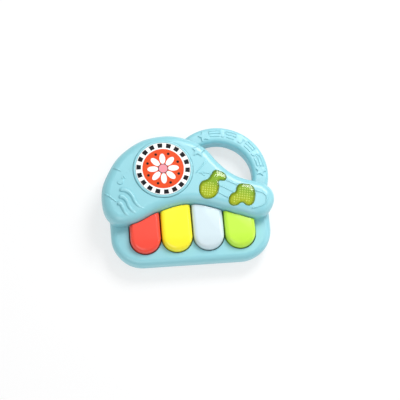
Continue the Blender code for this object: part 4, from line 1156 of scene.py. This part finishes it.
def screwMaster(headHigh, length):  # head down at the origin, facing the back
    s = screwSet
    deep = min(s["crossDeep"], headHigh * 0.6)
    dome = min(s["dome"], headHigh * 0.5)
    head = s["head"]
    profile = [(0, 0), (head - 2 * dome, 0), (head - dome, dome * 0.25), (head - dome * 0.3, dome * 0.65),
               (head, dome), (head, headHigh), (s["shank"], headHigh), (s["shank"], length - s["shank"]),
               (s["shank"] / 2, length), (0, length)]
    screw = turnedProfile("screw", profile, 0, 0, s["sides"])
    cross = block(*around(0, 0, 2 * s["crossReach"], s["cross"]), -s["past"], deep)
    join(cross, block(*around(0, 0, s["cross"], 2 * s["crossReach"]), -s["past"], deep))
    cut(screw, cross)
    mergePoints(screw)
    return screw


def makeScrews():
    s = screwSet
    low = s["headLow"]
    masters = {tip: screwMaster(s["headHigh"] - low, tip - low) for tip in (s["longTip"], s["shortTip"])}
    for number, (x, y, tip) in enumerate(s["places"], 1):
        settle(copyTo(masters[tip], x, y, low), "housingScrew%d" % number, "housing", [zincSteel],
               "housing_screw_%d" % number)
    small = screwMaster(s["doorHeadHigh"] - s["doorHeadLow"], s["doorTip"] - s["doorHeadLow"])
    x, y = rearSet["bayAt"]
    reach = doorSet["length"] / 2 - doorSet["screwIn"]
    for place, side in ((x - reach, "left"), (x + reach, "right")):
        settle(copyTo(small, place, y, s["doorHeadLow"]), side + "DoorScrew", "battery_lid",
               [zincSteel], "door_screw_" + side)
    for master in (*masters.values(), small):
        bpy.data.objects.remove(master)


makeRear()
makeDoor()
makeSlider()
makeScrews()
print("back made")


# rubber domes under the keys and the button

rubberSet = inMm({"radius": 5, "height": 3.7, "wall": 1, "crown": 2.2, "edge": 0.3}, sides=40, keep=0.5,
                 under={"key_dome_" + colour: colour + "_key_hinge" for colour in keySet["places"]})
rubberSet["under"]["button_dome"] = "button_press"


def makeRubber():
    r = rubberSet
    edge = r["edge"]
    roof = r["height"] - 2 * r["wall"]
    profile = [(0, r["height"])] + quarterArc(r["crown"] - edge, r["height"] - edge, edge, 90, 3)
    profile += [(r["radius"] - edge, r["wall"] + edge), (r["radius"], r["wall"]), (r["radius"], 0),
                (r["radius"] - r["wall"], 0), (r["crown"], roof), (0, roof)]
    master = turnedProfile("rubber", profile, 0, 0, r["sides"])
    for node, joint in r["under"].items():
        low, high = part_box(node)
        foot = ((low[0] + high[0]) / 2, (low[1] + high[1]) / 2, low[2])
        words = node.split("_")
        name = (words[2] + "KeyDome") if len(words) > 2 else "buttonDome"
        piece = settle(copyTo(master, *foot), name, "housing", [silicone], node)
        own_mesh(piece)
    bpy.data.objects.remove(master)


makeRubber()
print("rubber domes made")


# CAD nodes that keep their shape

keptFinishes = (
    (zincSteel, "power_switch", "key_pivot_rod", "speaker_frame"), (paperCone, "speaker_cone"),
    (ferrite, "speaker_magnet"), (boardGreen, "key_switch_board", "main_board", "led_board"),
    (clearEpoxy, "led_single", "led_pair"), (blackResin, "sound_chip"),
    (cellSleeve, "battery_upper", "battery_lower"),
    (nickelSpring, "contact_bridge", "contact_plus", "contact_minus"),
)
for material, *names in keptFinishes:
    for name in names:
        nodes[name].data.materials.clear()
        nodes[name].data.materials.append(material)
print("kept nodes finished")
